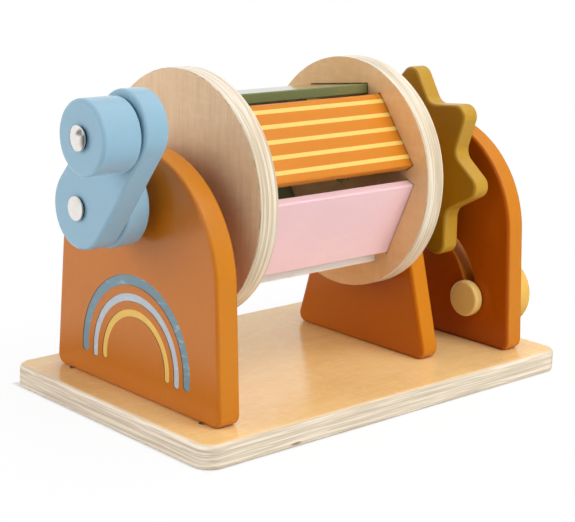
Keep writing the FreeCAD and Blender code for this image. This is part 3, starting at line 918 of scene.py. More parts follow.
def turned_nickel(name, y, z, roughness, crown):
    """Nickel with fine turned grooves, as normals that lean in and out along the radius."""
    metal = Finish(name, Metallic=1.0)
    place = metal.split(metal.place)
    across, up = place["Y"] / MM - y, place["Z"] / MM - z
    radius = metal.sum("SQRT", across * across + up * up + 0.01)
    haze = metal.noise(2.2, detail=3)
    wander = GROOVE_WANDER * metal.noise(0.9, detail=2)
    groove = GROOVE_LEAN * metal.sum("SINE", radius * GROOVE_RATE + wander)
    groove = groove + crown * radius     # a flatter or a rounder stamping
    lean = metal.node("ShaderNodeCombineXYZ", sockets={
        "Y": groove * across / radius, "Z": groove * up / radius})
    straight = metal.node("ShaderNodeTexCoord", out="Normal")
    leaning = metal.node("ShaderNodeVectorMath", {"operation": "ADD"}, {0: straight, 1: lean})
    turned_normal = metal.node("ShaderNodeVectorTransform", {
        "vector_type": "NORMAL", "convert_from": "OBJECT", "convert_to": "WORLD",
    }, {0: leaning})
    colour = metal.mix(haze, shade(232, 226, 220), shade(246, 241, 236))
    return metal.finish(
        Base_Color=colour, Roughness=roughness + 0.08 * (haze - 0.5), Normal=turned_normal,
    )


# %% [markdown]
# ## Steel, zinc, nylon and beech
# The rods are drawn steel with fine lines along them, and the screws are zinc plated with a
# blotchy shine. The sleeve in the slot is white nylon, and the spacers on the axles are turned
# beech with its short dark flecks. These finishes are small, so a few nodes make each of them.

# %% Mix the small finishes


def drawn_steel(name, level=1.0):
    metal = Finish(name, Metallic=1.0)
    lines = metal.noise(0.18, (60, 1, 1), detail=2)
    haze = metal.noise(6, detail=2)
    colour = metal.mix(lines, times(shade(150, 146, 142), level), times(shade(202, 198, 194), level))
    return metal.finish(Base_Color=colour, Roughness=0.26 + 0.12 * (haze - 0.5),
                        Normal=metal.bump(lines, 0.004))


def zinc(name):
    metal = Finish(name, Metallic=1.0)
    blotch = metal.noise(1.4, detail=4)
    colour = metal.mix(blotch, shade(168, 164, 152), shade(206, 202, 186))
    return metal.finish(Base_Color=colour, Roughness=0.30 + 0.16 * (blotch - 0.5),
                        Normal=metal.bump(blotch, 0.01))


def nylon(name):
    plastic = Finish(name, IOR=1.53)
    swirl = plastic.noise(2.0, detail=3, warp=0.8)
    colour = plastic.mix(swirl, shade(224, 221, 210), shade(240, 238, 230))
    return plastic.finish(Base_Color=colour, Roughness=0.38 + 0.1 * (swirl - 0.5),
                          Normal=plastic.bump(swirl, 0.008))


def beech(name):
    wood = Finish(name, IOR=1.5)
    lines = wood.noise(0.7, (30, 1, 1), detail=3, rough=0.6)
    flecks = wood.step(wood.noise(0.42, (5, 1, 1), detail=1, shift=9.0), 0.62, 0.72)
    colour = wood.mix(wood.step(lines, 0.3, 0.7), shade(196, 148, 104), shade(222, 178, 132))
    colour = wood.mix(flecks * 0.5, colour, shade(146, 98, 62))
    return wood.finish(Base_Color=colour, Roughness=0.45 + 0.1 * (lines - 0.5),
                       Normal=wood.bump(lines, 0.02))


PIN_Y, PIN_Z = middle_of("knob_pin").yz
axle_nickel = turned_nickel("axle_cap_nickel", 0.0, AXLE_HEIGHT, 0.24, -0.03)
knob_nickel = turned_nickel("knob_cap_nickel", PIN_Y, PIN_Z, 0.12, 0.04)
rod_steel, screw_zinc = drawn_steel("rod_steel"), zinc("screw_zinc")
# painted shade: a dark steel for the caps' necks, which lie in the shade of their rims
neck_shade_steel = drawn_steel("neck_shade_steel", 0.16)
sleeve_nylon, spacer_beech = nylon("sleeve_nylon"), beech("spacer_beech")
print("the knob's pin stands at", round(PIN_Y, 2), round(PIN_Z, 2))

# %% [markdown]
# ## The base board
# A sawn board with quarter-round corners and eased edges. Six holes for screws are drilled
# from beneath, and each is sunk for the screw's head. Small round reliefs from the router
# peep out under the front upright, at the two ends of its housing.

# %% Saw, ease and drill the base
BASE_CORNER, BASE_TOP_EDGE, BOARD_EDGE = 10.5, 2.6, 1.0
SCREW_SHANK, SCREW_HEAD, SCREW_SUNK, SCREW_HEAD_HEIGHT, PILOT_DEPTH = 2.0, 4.2, 0.4, 2.6, 24.0
UPRIGHTS = ("front_upright", "middle_upright", "rear_upright")
SCREW_SPREAD = dict(zip(UPRIGHTS, (45.0, 32.0, 45.0)))
screw_places = []
for upright in UPRIGHTS:
    spread = SCREW_SPREAD[upright]
    screw_places += [(middle_of(upright).x, y) for y in (-spread, spread)]

base = board("base_board", "XY", [
    (base_low.x, base_low.y, BASE_CORNER), (base_high.x, base_low.y, BASE_CORNER),
    (base_high.x, base_high.y, BASE_CORNER), (base_low.x, base_high.y, BASE_CORNER),
], 0)
open_piece(base)
round_rims(base, 2, (base_high.z,), BASE_TOP_EDGE, 8)
round_rims(base, 2, (base_low.z,), BOARD_EDGE, 4)
close_piece()
cut(base, [
    drill(SCREW_SHANK, (x, y, base_low.z - OUTSIDE), (x, y, base_high.z + OUTSIDE), "Z", 32)
    for x, y in screw_places
])
sinks = []
for x, y in screw_places:
    cone = add(
        bpy.ops.mesh.primitive_cone_add, vertices=48, radius1=SCREW_HEAD * MM,
        radius2=SCREW_SHANK * MM, depth=SCREW_HEAD_HEIGHT * MM,
        location=Vector((x, y, SCREW_SUNK + SCREW_HEAD_HEIGHT / 2)) * MM,
    )
    open_piece(cone)
    pick(cone, "FACE", lambda face: lies_at(face, 2, SCREW_SUNK))
    bpy.ops.mesh.extrude_region_move(TRANSFORM_OT_translate={"value": (0, 0, -2 * OUTSIDE * MM)})
    close_piece()
    sinks.append(cone)
cut(base, sinks)
RELIEF_RADIUS, RELIEF_DEPTH, RELIEF_X, RELIEF_Y = 2.6, 3.0, -122.3, (60.2, -59.2)
cut(base, [
    drill(RELIEF_RADIUS, (RELIEF_X, y, base_high.z - RELIEF_DEPTH),
          (RELIEF_X, y, base_high.z + OUTSIDE), "Z", 32)
    for y in RELIEF_Y
])
hand_over(base, "stand", "base_board", "birch_plywood", base_plywood)

# %% [markdown]
# ## The uprights
# All three are the same shape at two sizes: straight sides that lean in and run into a round
# top. That is a triangle with a rounding at each corner, and the top one is very large. The
# rims are rounded more than the plywood's are, because the paint has to cover them.

# %% Saw and round the uprights
UPRIGHT_EDGE, UPRIGHT_FOOT = 2.5, 6.0
ARCH = {"half_foot": 75.0, "taper": 4.0, "centre": 84.5}
POST = {"half_foot": 57.6, "taper": 15.6, "centre": AXLE_HEIGHT}


def upright_blank(node, form):
    foot = corners_of(node)[0].z
    apex = foot + form["half_foot"] / tan(radians(form["taper"]))
    top = (apex - form["centre"]) * sin(radians(form["taper"]))
    return board(node, "YZ", [
        (form["half_foot"], foot, UPRIGHT_FOOT), (0.0, apex, top),
        (-form["half_foot"], foot, UPRIGHT_FOOT),
    ], UPRIGHT_EDGE, 6)


def upright_holes(node, with_axle=True):
    """Cutters for the screws' pilot holes and the axle's hole."""
    low, high = corners_of(node)
    middle, spread = middle_of(node).x, SCREW_SPREAD[node]
    tools = [
        drill(SCREW_SHANK, (middle, y, low.z - OUTSIDE), (middle, y, low.z + PILOT_DEPTH), "Z", 24)
        for y in (-spread, spread)
    ]
    if with_axle:
        tools.append(drill_across(AXLE_HOLE, low.x, high.x))
    return tools


post = upright_blank("middle_upright", POST)
cut(post, upright_holes("middle_upright"))
hand_over(post, "stand", "middle_upright", "caramel_paint", shaded_post_paint)

# %% [markdown]
# ## The rainbow's paint
# Three arched grooves are cut into the front upright and painted: a wide slate one, a pale one and a
# yellow one. The paint lies thin on the floor of a groove, and the wood's streaks show in it. The wall
# is painted dark, a painted shade that draws a thin line round each band. The bands could be colours
# on a flat board, but then that line would be missing.

# %% Mix the rainbow's paints


def brushed_band(name, colour, light):
    """Thin paint in a groove: the wood's streaks and a few light scratches show in it."""
    paint = Finish(name, IOR=1.5)
    streaks = paint.noise(1.1, (1, 7, 5), detail=4, rough=0.7, warp=0.6)
    scratches = paint.noise(1.6, (1, 9, 2.2), detail=2, shift=13.0, warp=1.2)
    scratches = paint.step(scratches, 0.60, 0.70)
    toned = paint.tint(colour, streaks, 0.30, 0.70, 0.5, times(colour, 0.86))
    toned = paint.mix(scratches * 0.40, toned, light)
    return paint.finish(
        Base_Color=toned, Roughness=0.42 + 0.16 * (streaks - 0.5),
        Normal=paint.bump(streaks, 0.03, paint.bump(scratches, 0.03)),
    )


slate_band = brushed_band("slate_band", shade(120, 147, 158), shade(188, 208, 218))
pale_band = brushed_band("pale_band", shade(188, 198, 206), shade(222, 228, 232))
yellow_band = brushed_band("yellow_band", shade(238, 194, 94), shade(250, 216, 136))
# painted shade: the groove's wall is coloured dark for the shade inside the groove
groove_wall_shade = painted("groove_wall_shade", shade(96, 84, 74))
RAINBOW_PAINTS = [caramel_paint, slate_band, pale_band, yellow_band, groove_wall_shade]
print("the rainbow has", len(RAINBOW_PAINTS), "finishes")

# %% [markdown]
# ## The rainbow's grooves
# A router with a small bit cuts the grooves, and its bit leaves round feet. The cutter here is
# an arch that starts outside the board, reaches as deep as the groove, and is bevelled along
# its inner rim, so that the groove's floor meets its wall in a curve. The faces of the cutter
# carry the number of their paint.

# %% Cut and paint the rainbow
PAINTED_DEPTH, FLOOR_CURVE = 0.35, 0.25
# each band's middle radius and width, the middle of its round part, and how low its feet go
RAINBOW_BANDS = (
    (46.2, 5.9, -0.45, 32.6, 27.7), (37.0, 4.5, -0.85, 32.1, 26.9), (28.4, 4.3, -1.2, 31.8, 28.0),
)


def band_cutter(band, face_x, paint_number):
    """An arch-shaped cutter that reaches a groove's depth behind a face across X."""
    radius, width, y, centre, lowest = band
    half, foot = width / 2, lowest + width / 2
    start = face_x - OUTSIDE
    pencil = Pencil("band_cutter", "YZ", start, (y + radius + half, foot))
    pencil.line((y + radius + half, centre))
    pencil.arc((y, centre), 180)
    pencil.line((y - radius - half, foot))
    pencil.arc((y - radius, foot), 180)
    pencil.line((y - radius + half, centre))
    pencil.arc((y, centre), -180)
    pencil.line((y + radius - half, foot))
    pencil.arc((y + radius, foot), 180)
    cutter = draw_out(pencil.lift(), "YZ", start, OUTSIDE + PAINTED_DEPTH, 0)
    open_piece(cutter)
    round_rims(cutter, 0, (face_x + PAINTED_DEPTH,), FLOOR_CURVE, 3)
    dress(cutter, RAINBOW_PAINTS)
    paint_faces(cutter, RAINBOW_PAINTS.index(groove_wall_shade), lambda face: True)
    paint_faces(cutter, paint_number, lambda face: face.normal.x > 0.8)
    close_piece()
    return cutter


front_low = corners_of("front_upright")[0]
front_arch = upright_blank("front_upright", ARCH)
dress(front_arch, RAINBOW_PAINTS)
cut(front_arch, upright_holes("front_upright"))
for number, band in enumerate(RAINBOW_BANDS, start=1):
    cut(front_arch, [band_cutter(band, front_low.x, number)])
hand_over(front_arch, "stand", "front_upright", "caramel_paint")

# %% [markdown]
# ## The arched slot
# The last upright has a half-round slot for the sliding button. The slot is one closed
# outline again, two long arcs joined by two half circles. It is cut straight through, and
# then its rims are rounded on both faces. The rim edges are found by their distance from the
# slot's middle line.

# %% Cut the slot and ease its rims
SLOT_CENTRE, SLOT_RADIUS, SLOT_WIDTH, SLOT_EDGE, SLOT_START = 40.3, 41.9, 8.4, 1.2, 2.0
rear_low, rear_high = corners_of("rear_upright")
rear_arch = upright_blank("rear_upright", ARCH)
slot_x, slot_depth = rear_low.x - OUTSIDE, rear_high.x - rear_low.x + 2 * OUTSIDE
slot_middle, sweep = (0, SLOT_CENTRE), 180 - 2 * SLOT_START
slot_corner = round_about(slot_middle, SLOT_RADIUS + SLOT_WIDTH / 2, SLOT_START)
pencil = Pencil("slot_cutter", "YZ", slot_x, slot_corner)
pencil.arc(slot_middle, sweep)
pencil.arc(round_about(slot_middle, SLOT_RADIUS, 180 - SLOT_START), 180)
pencil.arc(slot_middle, -sweep)
pencil.arc(round_about(slot_middle, SLOT_RADIUS, SLOT_START), 180)
cut(rear_arch, [draw_out(pencil.lift(), "YZ", slot_x, slot_depth, 0)])


def beside_slot(middle):
    """Whether a point lies within the slot's own reach of its middle line."""
    off = hypot(middle.y, middle.z - SLOT_CENTRE) - SLOT_RADIUS
    return abs(off) < SLOT_WIDTH * 0.7 and middle.z > SLOT_CENTRE - SLOT_WIDTH


open_piece(rear_arch)
rims = round_rims(rear_arch, 0, (rear_low.x, rear_high.x), SLOT_EDGE, 4, beside_slot)
close_piece()
cut(rear_arch, upright_holes("rear_upright", with_axle=False))
hand_over(rear_arch, "stand", "rear_upright", "caramel_paint", shaded_rear_paint)
print(rims, "rim edges of the slot were rounded")

# %% [markdown]
# ## The drum's discs
# Each disc is turned from plywood with eased rims and a hole for its axle. Six straight
# grooves for the slats are milled into its inner face. One groove cutter is made and copied
# round the axle, because what repeats is modelled once.

# %% Turn the discs and mill their grooves
DISC_RADIUS, DISC_EDGE = 70.0, 0.7
SLAT_COUNT, SLAT_WIDTH, SLAT_THICK, SLAT_OUTSIDE = 6, 48.2, 6.0, 53.4
GROOVE_DEPTH, GROOVE_GAP = 5.0, 0.5


def bar(name, x_low, x_high, grow=0.0):
    """A bar with a slat's section at the -Y side of the axle, to be turned into place."""
    size = Vector((x_high - x_low, SLAT_THICK + 2 * grow, SLAT_WIDTH + 2 * grow))
    middle = Vector(((x_low + x_high) / 2, -SLAT_OUTSIDE + SLAT_THICK / 2, AXLE_HEIGHT))
    piece = add(bpy.ops.mesh.primitive_cube_add, size=1.0, location=middle * MM, scale=size * MM)
    piece.name = piece.data.name = name
    return piece


def slat_turns():
    return [DRUM_ANGLE + place * 360 / SLAT_COUNT for place in range(SLAT_COUNT)]


def drum_disc(node, groove_low, groove_high, plywood_finish):
    disc = turned(node, AXLE_RADIUS, (DISC_EDGE, DISC_EDGE), radius=DISC_RADIUS, steps=160)
    groove = bar("groove_cutter", groove_low, groove_high, GROOVE_GAP)
    tools = [copy_piece(groove, "groove_cutter", turn=-angle) for angle in slat_turns()]
    bpy.data.objects.remove(groove, do_unlink=True)
    cut(disc, tools)
    return hand_over(disc, "drum", node, "birch_plywood", plywood_finish)


groove_floor_front = front_disc_high.x - GROOVE_DEPTH
groove_floor_rear = rear_disc_low.x + GROOVE_DEPTH
drum_disc("front_disc", groove_floor_front, front_disc_high.x + OUTSIDE, front_disc_plywood)
drum_disc("rear_disc", rear_disc_low.x - OUTSIDE, groove_floor_rear, rear_disc_plywood)

# %% [markdown]
# ## The slats
# A slat is a thin bar whose long edges are rounded before it is painted. It is made once, at
# the side of the drum, and copied to the six places round the axle. Each copy has its own
# mesh and its own colour.

# %% Make one slat and copy it round the drum
SLAT_EDGE = 1.0
SLATS = (
    ("slat_orange_striped", "orange_paint", orange_striped_paint),
    ("slat_green", "green_paint", green_paint),
    ("slat_sky", "sky_paint", sky_paint),
    ("slat_sage", "sage_paint", sage_paint),
    ("slat_white", "white_paint", white_paint),
    ("slat_pink", "pink_paint", pink_paint),
)
slat = bar("slat_blank", groove_floor_front, groove_floor_rear)
open_piece(slat)
pick(slat, "EDGE", lambda edge: abs(edge.verts[0].co.x - edge.verts[1].co.x) > SLAT_WIDTH * MM)
bpy.ops.mesh.bevel(offset=SLAT_EDGE * MM, segments=4, affect="EDGES", clamp_overlap=False)
close_piece()
for (node, slot_name, finish), angle in zip(SLATS, slat_turns()):
    copy = copy_piece(slat, node + "_finished", turn=-angle)
    hand_over(copy, "drum", node, slot_name, finish)
bpy.data.objects.remove(slat, do_unlink=True)

# %% [markdown]
# ## The crank
# The arm is a big circle and a smaller one wrapped by a straight line on each side. The lines
# touch both circles, so they start at the angle whose cosine is the difference of the radii
# over the distance between the middles. The boss behind it is turned, and so is the knob, with
# a soft round nose for a small hand.

# %% Saw the arm, turn the boss and the knob
ARM_EDGE, HUB_RADIUS, TIP_RADIUS, TIP_DISTANCE, ARM_ANGLE = 2.0, 22.5, 20.1, 60.4, 51.5
KNOB_NOSE, KNOB_HEEL = 2.2, 1.5
arm_low, arm_high = corners_of("crank_arm")
lean = 180 - ARM_ANGLE
spread = degrees(acos((HUB_RADIUS - TIP_RADIUS) / TIP_DISTANCE))
hub = (0.0, AXLE_HEIGHT)
tip = round_about(hub, TIP_DISTANCE, lean)
pencil = Pencil("crank_arm_finished", "YZ", arm_low.x, round_about(hub, HUB_RADIUS, lean + spread))
pencil.arc(hub, 360 - 2 * spread)
pencil.line(round_about(tip, TIP_RADIUS, lean - spread))
pencil.arc(tip, 2 * spread)
pencil.line(round_about(hub, HUB_RADIUS, lean + spread))
arm = draw_out(pencil.lift(), "YZ", arm_low.x, arm_high.x - arm_low.x, ARM_EDGE, 5)
cut(arm, [drill_across(AXLE_RADIUS, arm_low.x, arm_high.x, y, z)
          for y, z in (hub, (PIN_Y, PIN_Z))])
hand_over(arm, "drum", "crank_arm", "blue_paint", blue_paint)

boss = turned("crank_boss", AXLE_RADIUS, (ARM_EDGE, ARM_EDGE))
hand_over(boss, "drum", "crank_boss", "blue_paint", blue_paint)

knob = turned("crank_knob", AXLE_HOLE, (KNOB_NOSE, KNOB_HEEL), PIN_Y, PIN_Z)
hand_over(knob, "knob", "crank_knob", "blue_paint", blue_paint)

# %% [markdown]
# ## Push caps
# A steel rod ends in a domed push cap: a neck against the wood, a thin rim that stands clear
# of it, and a low dome. The section is drawn with lines and one arc, whose centre lies on the
# axis. The rim's two edges are then bevelled a little, because pressed metal has no sharp
# edge.

# %% Turn one cap
CAP_RADIUS, CAP_NECK, CAP_SOCKET, CAP_EDGE = 6.6, 6.1, 2.0, 0.22
CAP_RIM_LOW, CAP_RIM_HIGH, CAP_CROWN, CLOSE_BY = 1.0, 1.9, 3.5, 0.1
cap_face = arm_low.x
cap_dome = CAP_CROWN - CAP_RIM_HIGH
ball = (CAP_RADIUS ** 2 + cap_dome ** 2) / (2 * cap_dome)
ball_middle = (cap_face - CAP_CROWN + ball, AXLE_HEIGHT)
dome_angle = degrees(acos((ball - cap_dome) / ball))


def cap_point(outward, radius):
    return (cap_face - outward, AXLE_HEIGHT + radius)


def from_axis(point, y=0.0, z=AXLE_HEIGHT):
    """How far a point lies from an axis along X, in millimetres."""
    return hypot(point.y / MM - y, point.z / MM - z)


pencil = Pencil("cap", "XZ", 0.0, cap_point(CAP_SOCKET, 0))
for outward, radius in (
    (CAP_SOCKET, AXLE_RADIUS), (0, AXLE_RADIUS), (0, CAP_NECK), (CAP_RIM_LOW, CAP_NECK),
    (CAP_RIM_LOW, CAP_RADIUS), (CAP_RIM_HIGH, CAP_RADIUS),
):
    pencil.line(cap_point(outward, radius))
pencil.arc(ball_middle, dome_angle)
cap = turn_on_lathe(pencil.lift(), (0, 0, AXLE_HEIGHT), steps=72)
open_piece(cap)
pick(cap, "EDGE", lambda edge: any(
    lies_at(edge, 0, cap_face - out) for out in (CAP_RIM_LOW, CAP_RIM_HIGH)
) and all(from_axis(vertex.co) > CAP_RADIUS - CLOSE_BY for vertex in edge.verts))
bpy.ops.mesh.bevel(offset=CAP_EDGE * MM, segments=3, affect="EDGES", clamp_overlap=False)
close_piece()

print("the cap is", 2 * CAP_RADIUS, "mm across and", CAP_CROWN, "mm high")

# %% [markdown]
# ## A cap on every end
# One cap serves for all the rods, and half a turn makes it fit the other end. Each cap stands on the
# face of the wood that it is pushed against. Its neck lies in the shade of its rim, so the neck's
# faces are given a dark steel, a painted shade.

# %% Copy the cap to the ends of the rods
sun_low, sun_high = corners_of("sun_wheel")
CAPS = (
    ("crank_axle_cap", cap_face, 0, 0.0, AXLE_HEIGHT, axle_nickel),
    ("crank_axle_inner_cap", front_disc_high.x, 180, 0.0, AXLE_HEIGHT, axle_nickel),
    ("sun_axle_inner_cap", rear_disc_low.x, 0, 0.0, AXLE_HEIGHT, axle_nickel),
    ("sun_axle_cap", sun_high.x, 180, 0.0, AXLE_HEIGHT, axle_nickel),
    ("knob_cap", corners_of("knob_cap")[1].x, 0, PIN_Y, PIN_Z, knob_nickel),
    ("knob_back_cap", arm_high.x, 180, PIN_Y, PIN_Z, knob_nickel),
)
for node, wood_face, turn, y, z, finish in CAPS:
    step = (wood_face - cap_face, y, z - AXLE_HEIGHT)
    copy = copy_piece(cap, node + "_finished", step, turn, "Z", (cap_face, 0, AXLE_HEIGHT))
    hand_over(copy, "drum", node, "steel", finish, neck_shade_steel)
    open_piece(copy)
    paint_faces(copy, 1, lambda face: (
        abs(from_axis(face.calc_center_median(), y, z) - CAP_NECK) < CLOSE_BY))
    close_piece()
bpy.data.objects.remove(cap, do_unlink=True)

# %% [markdown]
# ## The sun
# Eight rays: a star whose tips and valleys are both rounded. It is sawn by eye, so each ray
# has its own length and lean. The outline helper rounds all sixteen corners.

# %% Saw the sun
SUN_TIPS = (70.2, 70.1, 67.6, 70.0, 70.0, 70.0, 70.0, 69.0)
SUN_LEANS = (1.2, 0.7, 0.8, 0.0, 0.0, 0.0, 0.0, -0.8)
SUN_RAYS, SUN_VALLEY, SUN_ANGLE, SUN_EDGE = 8, 46.9, -6.8, 2.0
SUN_TIP_ROUND, SUN_VALLEY_ROUND = 7.6, 8.4
star = []
for ray, (tip_distance, ray_lean) in enumerate(zip(SUN_TIPS, SUN_LEANS)):
    ray_angle = 180 - SUN_ANGLE - ray * 360 / SUN_RAYS
    star.append((*round_about(hub, tip_distance, ray_angle - ray_lean), SUN_TIP_ROUND))
    star.append((*round_about(hub, SUN_VALLEY, ray_angle - 180 / SUN_RAYS), SUN_VALLEY_ROUND))
sun = board("sun_wheel", "YZ", star, SUN_EDGE)
cut(sun, [drill_across(AXLE_RADIUS, sun_low.x, sun_high.x)])
hand_over(sun, "drum", "sun_wheel", "mustard_paint", mustard_paint)

# %% [markdown]
# ## Spacers and buttons
# Four turned rings keep the pieces apart on the axles. The sliding button is a small round
# plate in front of the slot and a larger one behind it. The same section helper makes all of
# them. A blind hole takes the button's pin.

# %% Turn the spacers and the buttons
for node in ("crank_spacer", "front_drum_spacer", "rear_drum_spacer", "sun_spacer"):
    ring = turned(node, AXLE_RADIUS, (BOARD_EDGE, BOARD_EDGE), steps=64)
    hand_over(ring, "drum", node, "beech", spacer_beech)

BUTTON_EDGE, BUTTON_PIN = 2.0, 2.0
pin_low, pin_high = corners_of("slider_pin")
slider_y, slider_z = middle_of("slider_pin").yz
BUTTONS = (
    ("slider_inner_button", "cream_paint", cream_paint),
    ("slider_outer_button", "yellow_paint", butter_paint),
)
for node, slot_name, finish in BUTTONS:
    button = turned(node, 0, (BUTTON_EDGE, BUTTON_EDGE), slider_y, slider_z)
    cut(button, [drill(BUTTON_PIN, (pin_low.x, slider_y, slider_z), (pin_high.x, slider_y, slider_z))])
    hand_over(button, "buttons", node, slot_name, finish)

# %% [markdown]
# ## The screws
# Six countersunk screws hold the uprights from beneath. One is turned about its own upright
# axis, with a cone for the head, a thread of low ridges and a point, and a cross is cut into
# its head. The rest are copies, joined to one piece because the frame holds them as one.

# %% Make one screw and copy it
SCREW_TOP, SCREW_POINT = base_high.z + PILOT_DEPTH, 4.0
SCREW_CORE, SCREW_CREST, THREAD_RISE, THREAD_PITCH = 1.5, 1.95, 0.9, 1.6
HEAD_FLAT, HEAD_RIM, HEAD_RIM_RISE = 4.05, 4.15, 0.2
CROSS_WIDTH, CROSS_DEPTH = 1.0, 1.4
section = [(HEAD_FLAT, SCREW_SUNK), (HEAD_RIM, SCREW_SUNK + HEAD_RIM_RISE),
           (SCREW_CREST, SCREW_SUNK + SCREW_HEAD_HEIGHT)]
thread = base_high.z
while thread < SCREW_TOP - SCREW_POINT:
    section += [(SCREW_CORE, thread), (SCREW_CREST, thread + THREAD_RISE)]
    thread += THREAD_PITCH
section += [(SCREW_CORE, SCREW_TOP - SCREW_POINT), (0, SCREW_TOP)]
screw_x, screw_y = screw_places[0]
pencil = Pencil("screw", "XZ", screw_y, (screw_x, SCREW_SUNK))
for radius, height in section:
    pencil.line((screw_x + radius, height))
screw = turn_on_lathe(pencil.lift(), (screw_x, screw_y, 0), "XY", 32)
for wide, deep in ((SCREW_HEAD, CROSS_WIDTH), (CROSS_WIDTH, SCREW_HEAD)):
    cut(screw, [add(
        bpy.ops.mesh.primitive_cube_add, size=1.0,
        location=Vector((screw_x, screw_y, SCREW_SUNK)) * MM,
        scale=Vector((wide, deep, 2 * CROSS_DEPTH)) * MM,
    )])
copies = [
    copy_piece(screw, "screw", (x - screw_x, y - screw_y, 0)) for x, y in screw_places[1:]
]
only(screw)
for copy in copies:
    copy.select_set(True)
bpy.ops.object.join()
screw.name = screw.data.name = "base_screws_finished"
hand_over(screw, "stand", "base_screws", "steel", screw_zinc)

# %% [markdown]
# ## Rods and the sleeve
# The rods and the nylon sleeve are plain round bars between other pieces, and the packed
# solids have that shape already. They stay, with a finish that suits them.

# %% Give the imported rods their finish
for node, finish in (
    ("crank_axle", rod_steel), ("sun_axle", rod_steel), ("knob_pin", rod_steel),
    ("slider_pin", rod_steel), ("slider_sleeve", sleeve_nylon),
):
    dress(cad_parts[node], [finish])
    print(node, "keeps its packed solid and is finished in", finish.name)

# %% [markdown]
# ## The floor
# A white table under a white backdrop, with a dimmer room behind the camera. The floor has a true
# white surface that takes the toy's shadow. What the camera sees of it is lifted most of the way to
# white, and least under the board. What a gloss sees of it is dim towards the room, and close to the
# board it is darkened as a painted shadow of the toy.

# %% Lay the floor
BACKDROP, ROOM, NEAR_BASE_SHADOW = 0.98, 0.14, 0.12
TO_ROOM, ROOM_BORDER = (0.33, -0.94, 0.0), (-0.45, -0.05)
LIFT_UNDER, LIFT_BESIDE, LIFT_FAR = 0.3, 0.92, 1.0
CLOTH_LOW, CLOTH_HIGH = (0.86, 0.86, 0.86, 1), (0.90, 0.90, 0.90, 1)
FLOOR_SIZE, FLOOR_DROP = 12.0, 0.0002
# where each change begins and ends, in millimetres beyond the base board
BESIDE, FAR_AWAY, SHADOW_CLEAR = (-1, 2), (0, 160), (26, 95)


def in_room(network, direction):
    """How much of a direction lies in the dim room."""
    return network.step(network.along(direction, TO_ROOM), *ROOM_BORDER)


def rays(network):
    """Whether a ray comes from the camera, and whether it comes from a gloss."""
    camera_ray = network.node("ShaderNodeLightPath", out="Is Camera Ray")
    return camera_ray, camera_ray.other("Is Glossy Ray") + camera_ray.other("Is Transmission Ray")


def white_light(network, kind, strength):
    return network.node(kind, sockets={"Color": (1, 1, 1, 1), "Strength": strength})


def white_floor():
    cloth = Finish("white_floor", Roughness=0.9)
    cloth.finish(Base_Color=cloth.mix(cloth.noise(40, detail=3), CLOTH_LOW, CLOTH_HIGH))
    beyond = cloth.beyond((base_high.x, base_high.y))
    level = cloth.node("ShaderNodeVectorMath", {"operation": "NORMALIZE"}, {0: cloth.place})
    # painted shadow: what a gloss sees of the floor is darkened close to the board
    mirrored_with_shadow = (BACKDROP - (BACKDROP - ROOM) * in_room(cloth, level)) * (
        NEAR_BASE_SHADOW + (1 - NEAR_BASE_SHADOW) * cloth.step(beyond, *SHADOW_CLEAR))
    lift = (LIFT_UNDER + (LIFT_BESIDE - LIFT_UNDER) * cloth.step(beyond, *BESIDE)
            + (LIFT_FAR - LIFT_BESIDE) * cloth.step(beyond, *FAR_AWAY))
    glow, black = [white_light(cloth, "ShaderNodeEmission", strength) for strength in (1.0, 0.0)]
    camera_ray, gloss_ray = rays(cloth)
    seen = cloth.either(camera_ray * lift, Amount(cloth, cloth.shader.outputs[0]), glow)
    surface = cloth.either(gloss_ray, seen, cloth.either(mirrored_with_shadow, black, glow))
    cloth.feed(cloth.nodes["Material Output"].inputs["Surface"], surface)
    return cloth.material


bpy.ops.object.select_all(action="DESELECT")
bpy.ops.mesh.primitive_plane_add(size=FLOOR_SIZE, location=(0, 0, -FLOOR_DROP))
floor = bpy.context.active_object
floor.name = "floor"
floor.data.materials.append(white_floor())
print("the floor is laid and white")

# %% [markdown]
# ## The air
# The camera sees a white backdrop, and very little of it lights the toy. A gloss sees it
# white behind the toy and dim in front, with one more dim patch up on the left. A window
# and the ceiling stay bright. This gives the polished caps their dark and light wedges.

# %% Fill the air
AIR = 0.05
TO_WINDOW, WINDOW_BORDER, CEILING_BORDER = (-0.71, -0.40, 0.58), (0.90, 0.96), (0.56, 0.78)
PATCH_DIMNESS, PATCH_UP, PATCH_LEFT = 0.85, (0.08, 0.30), (0.60, 0.80)


def fill_air(tree):
    sky = Network(tree)
    sky.nodes.clear()
    outlook = sky.node("ShaderNodeTexCoord", out="Generated")
    heading = sky.split(outlook)
    patch = sky.step(heading["Z"], *PATCH_UP) * sky.step(0 - heading["X"], *PATCH_LEFT)
    window = sky.step(sky.along(outlook, TO_WINDOW), *WINDOW_BORDER)
    ceiling = sky.step(heading["Z"], *CEILING_BORDER)
    dim = sky.sum("MAXIMUM", in_room(sky, outlook), patch * PATCH_DIMNESS)
    dim = dim * (1 - sky.sum("MAXIMUM", window, ceiling))
    backdrop, room, air, white = [white_light(sky, "ShaderNodeBackground", strength)
                                  for strength in (BACKDROP, ROOM, AIR, 1.0)]
    camera_ray, gloss_ray = rays(sky)
    lit = sky.either(gloss_ray, air, sky.either(dim, backdrop, room))
    surface = sky.either(camera_ray, lit, white)
    sky.node("ShaderNodeOutputWorld", sockets={"Surface": surface}, out=None)


world = bpy.data.worlds.new("white_backdrop")
bpy.context.scene.world = world
world.use_nodes = True
fill_air(world.node_tree)
print("the backdrop is white")

# %% [markdown]
# ## Lamps
# Soft lamps from the front, the top right and the back left, as in a small studio. The tops
# and the front sides are the brightest, and the crank's side lies in a soft shade. An area
# lamp is aimed by turning its own Z axis away from what it lights.

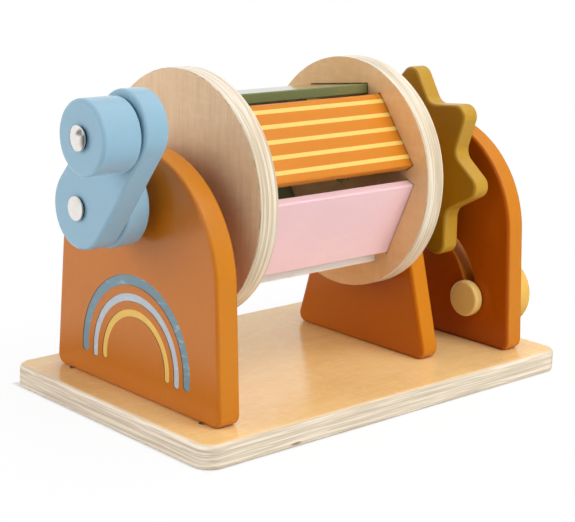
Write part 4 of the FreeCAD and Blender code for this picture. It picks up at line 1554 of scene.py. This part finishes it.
# %% Hang the lamps
LAMP_SIZE, LAMP_REACH, FULL_POWER, LAMP_AIM = 1.1, 1.3, 14.0, Vector((0, 0, 0.08))
LAMPS = (
    ("front_lamp", (0.15, -0.85, 0.50), 0.50),
    ("front_top_lamp", (0.0, -0.6, 0.8), 0.54),
    ("right_top_lamp", (0.5, -0.5, 0.7), 0.33),
    ("back_left_lamp", (-0.8, 0.55, 0.35), 0.54),
    ("left_lamp", (-0.95, 0.0, 0.35), 0.20),
    ("over_right_lamp", (0.45, 0.25, 0.8), 0.52),
)


def soft_lamp(name, toward, share):
    lamp = bpy.data.lights.new(name, "AREA")
    lamp.shape, lamp.size, lamp.energy = "DISK", LAMP_SIZE, FULL_POWER * share
    holder = bpy.data.objects.new(name, lamp)
    bpy.context.scene.collection.objects.link(holder)
    away = Vector(toward).normalized()
    holder.location = LAMP_AIM + away * LAMP_REACH
    holder.rotation_euler = away.to_track_quat("Z", "Y").to_euler()
    holder.visible_glossy = False


for lamp in LAMPS:
    soft_lamp(*lamp)
print(len(LAMPS), "soft lamps hang round the toy")

# %% [markdown]
# ## The camera
# The camera stands at the front left, a little above the toy, and leans by two degrees. Its
# direction is given by how far round and how far up it stands, and its matrix is built from
# three directions: to the right, up, and back towards the camera.

# %% Place the camera
CAMERA_ROUND, CAMERA_UP, CAMERA_ROLL, CAMERA_DISTANCE = -43.02, 13.86, 2.02, 0.91883
CAMERA_AIM = Vector((-0.00289, 0.00747, 0.07147))
FRAME_WIDTH, FOCAL_PIXELS, SENSOR = 575, 1516.69, 36.0
turn, rise, roll = radians(CAMERA_ROUND), radians(CAMERA_UP), radians(CAMERA_ROLL)
back = Vector((sin(turn) * cos(rise), -cos(turn) * cos(rise), sin(rise)))
right = Vector((0, 0, 1)).cross(back).normalized()
up = back.cross(right)
leaned_right = right * cos(roll) + up * sin(roll)
leaned_up = up * cos(roll) - right * sin(roll)
lens = bpy.data.cameras.new("camera")
lens.sensor_width, lens.lens = SENSOR, SENSOR * FOCAL_PIXELS / FRAME_WIDTH
camera = bpy.data.objects.new("camera", lens)
bpy.context.scene.collection.objects.link(camera)
pose = Matrix((leaned_right, leaned_up, back)).transposed().to_4x4()
pose.translation = CAMERA_AIM + back * CAMERA_DISTANCE
camera.matrix_world = pose
bpy.context.scene.camera = camera
bpy.context.scene.view_settings.view_transform = "Standard"
print("the lens is", round(lens.lens, 2), "mm")
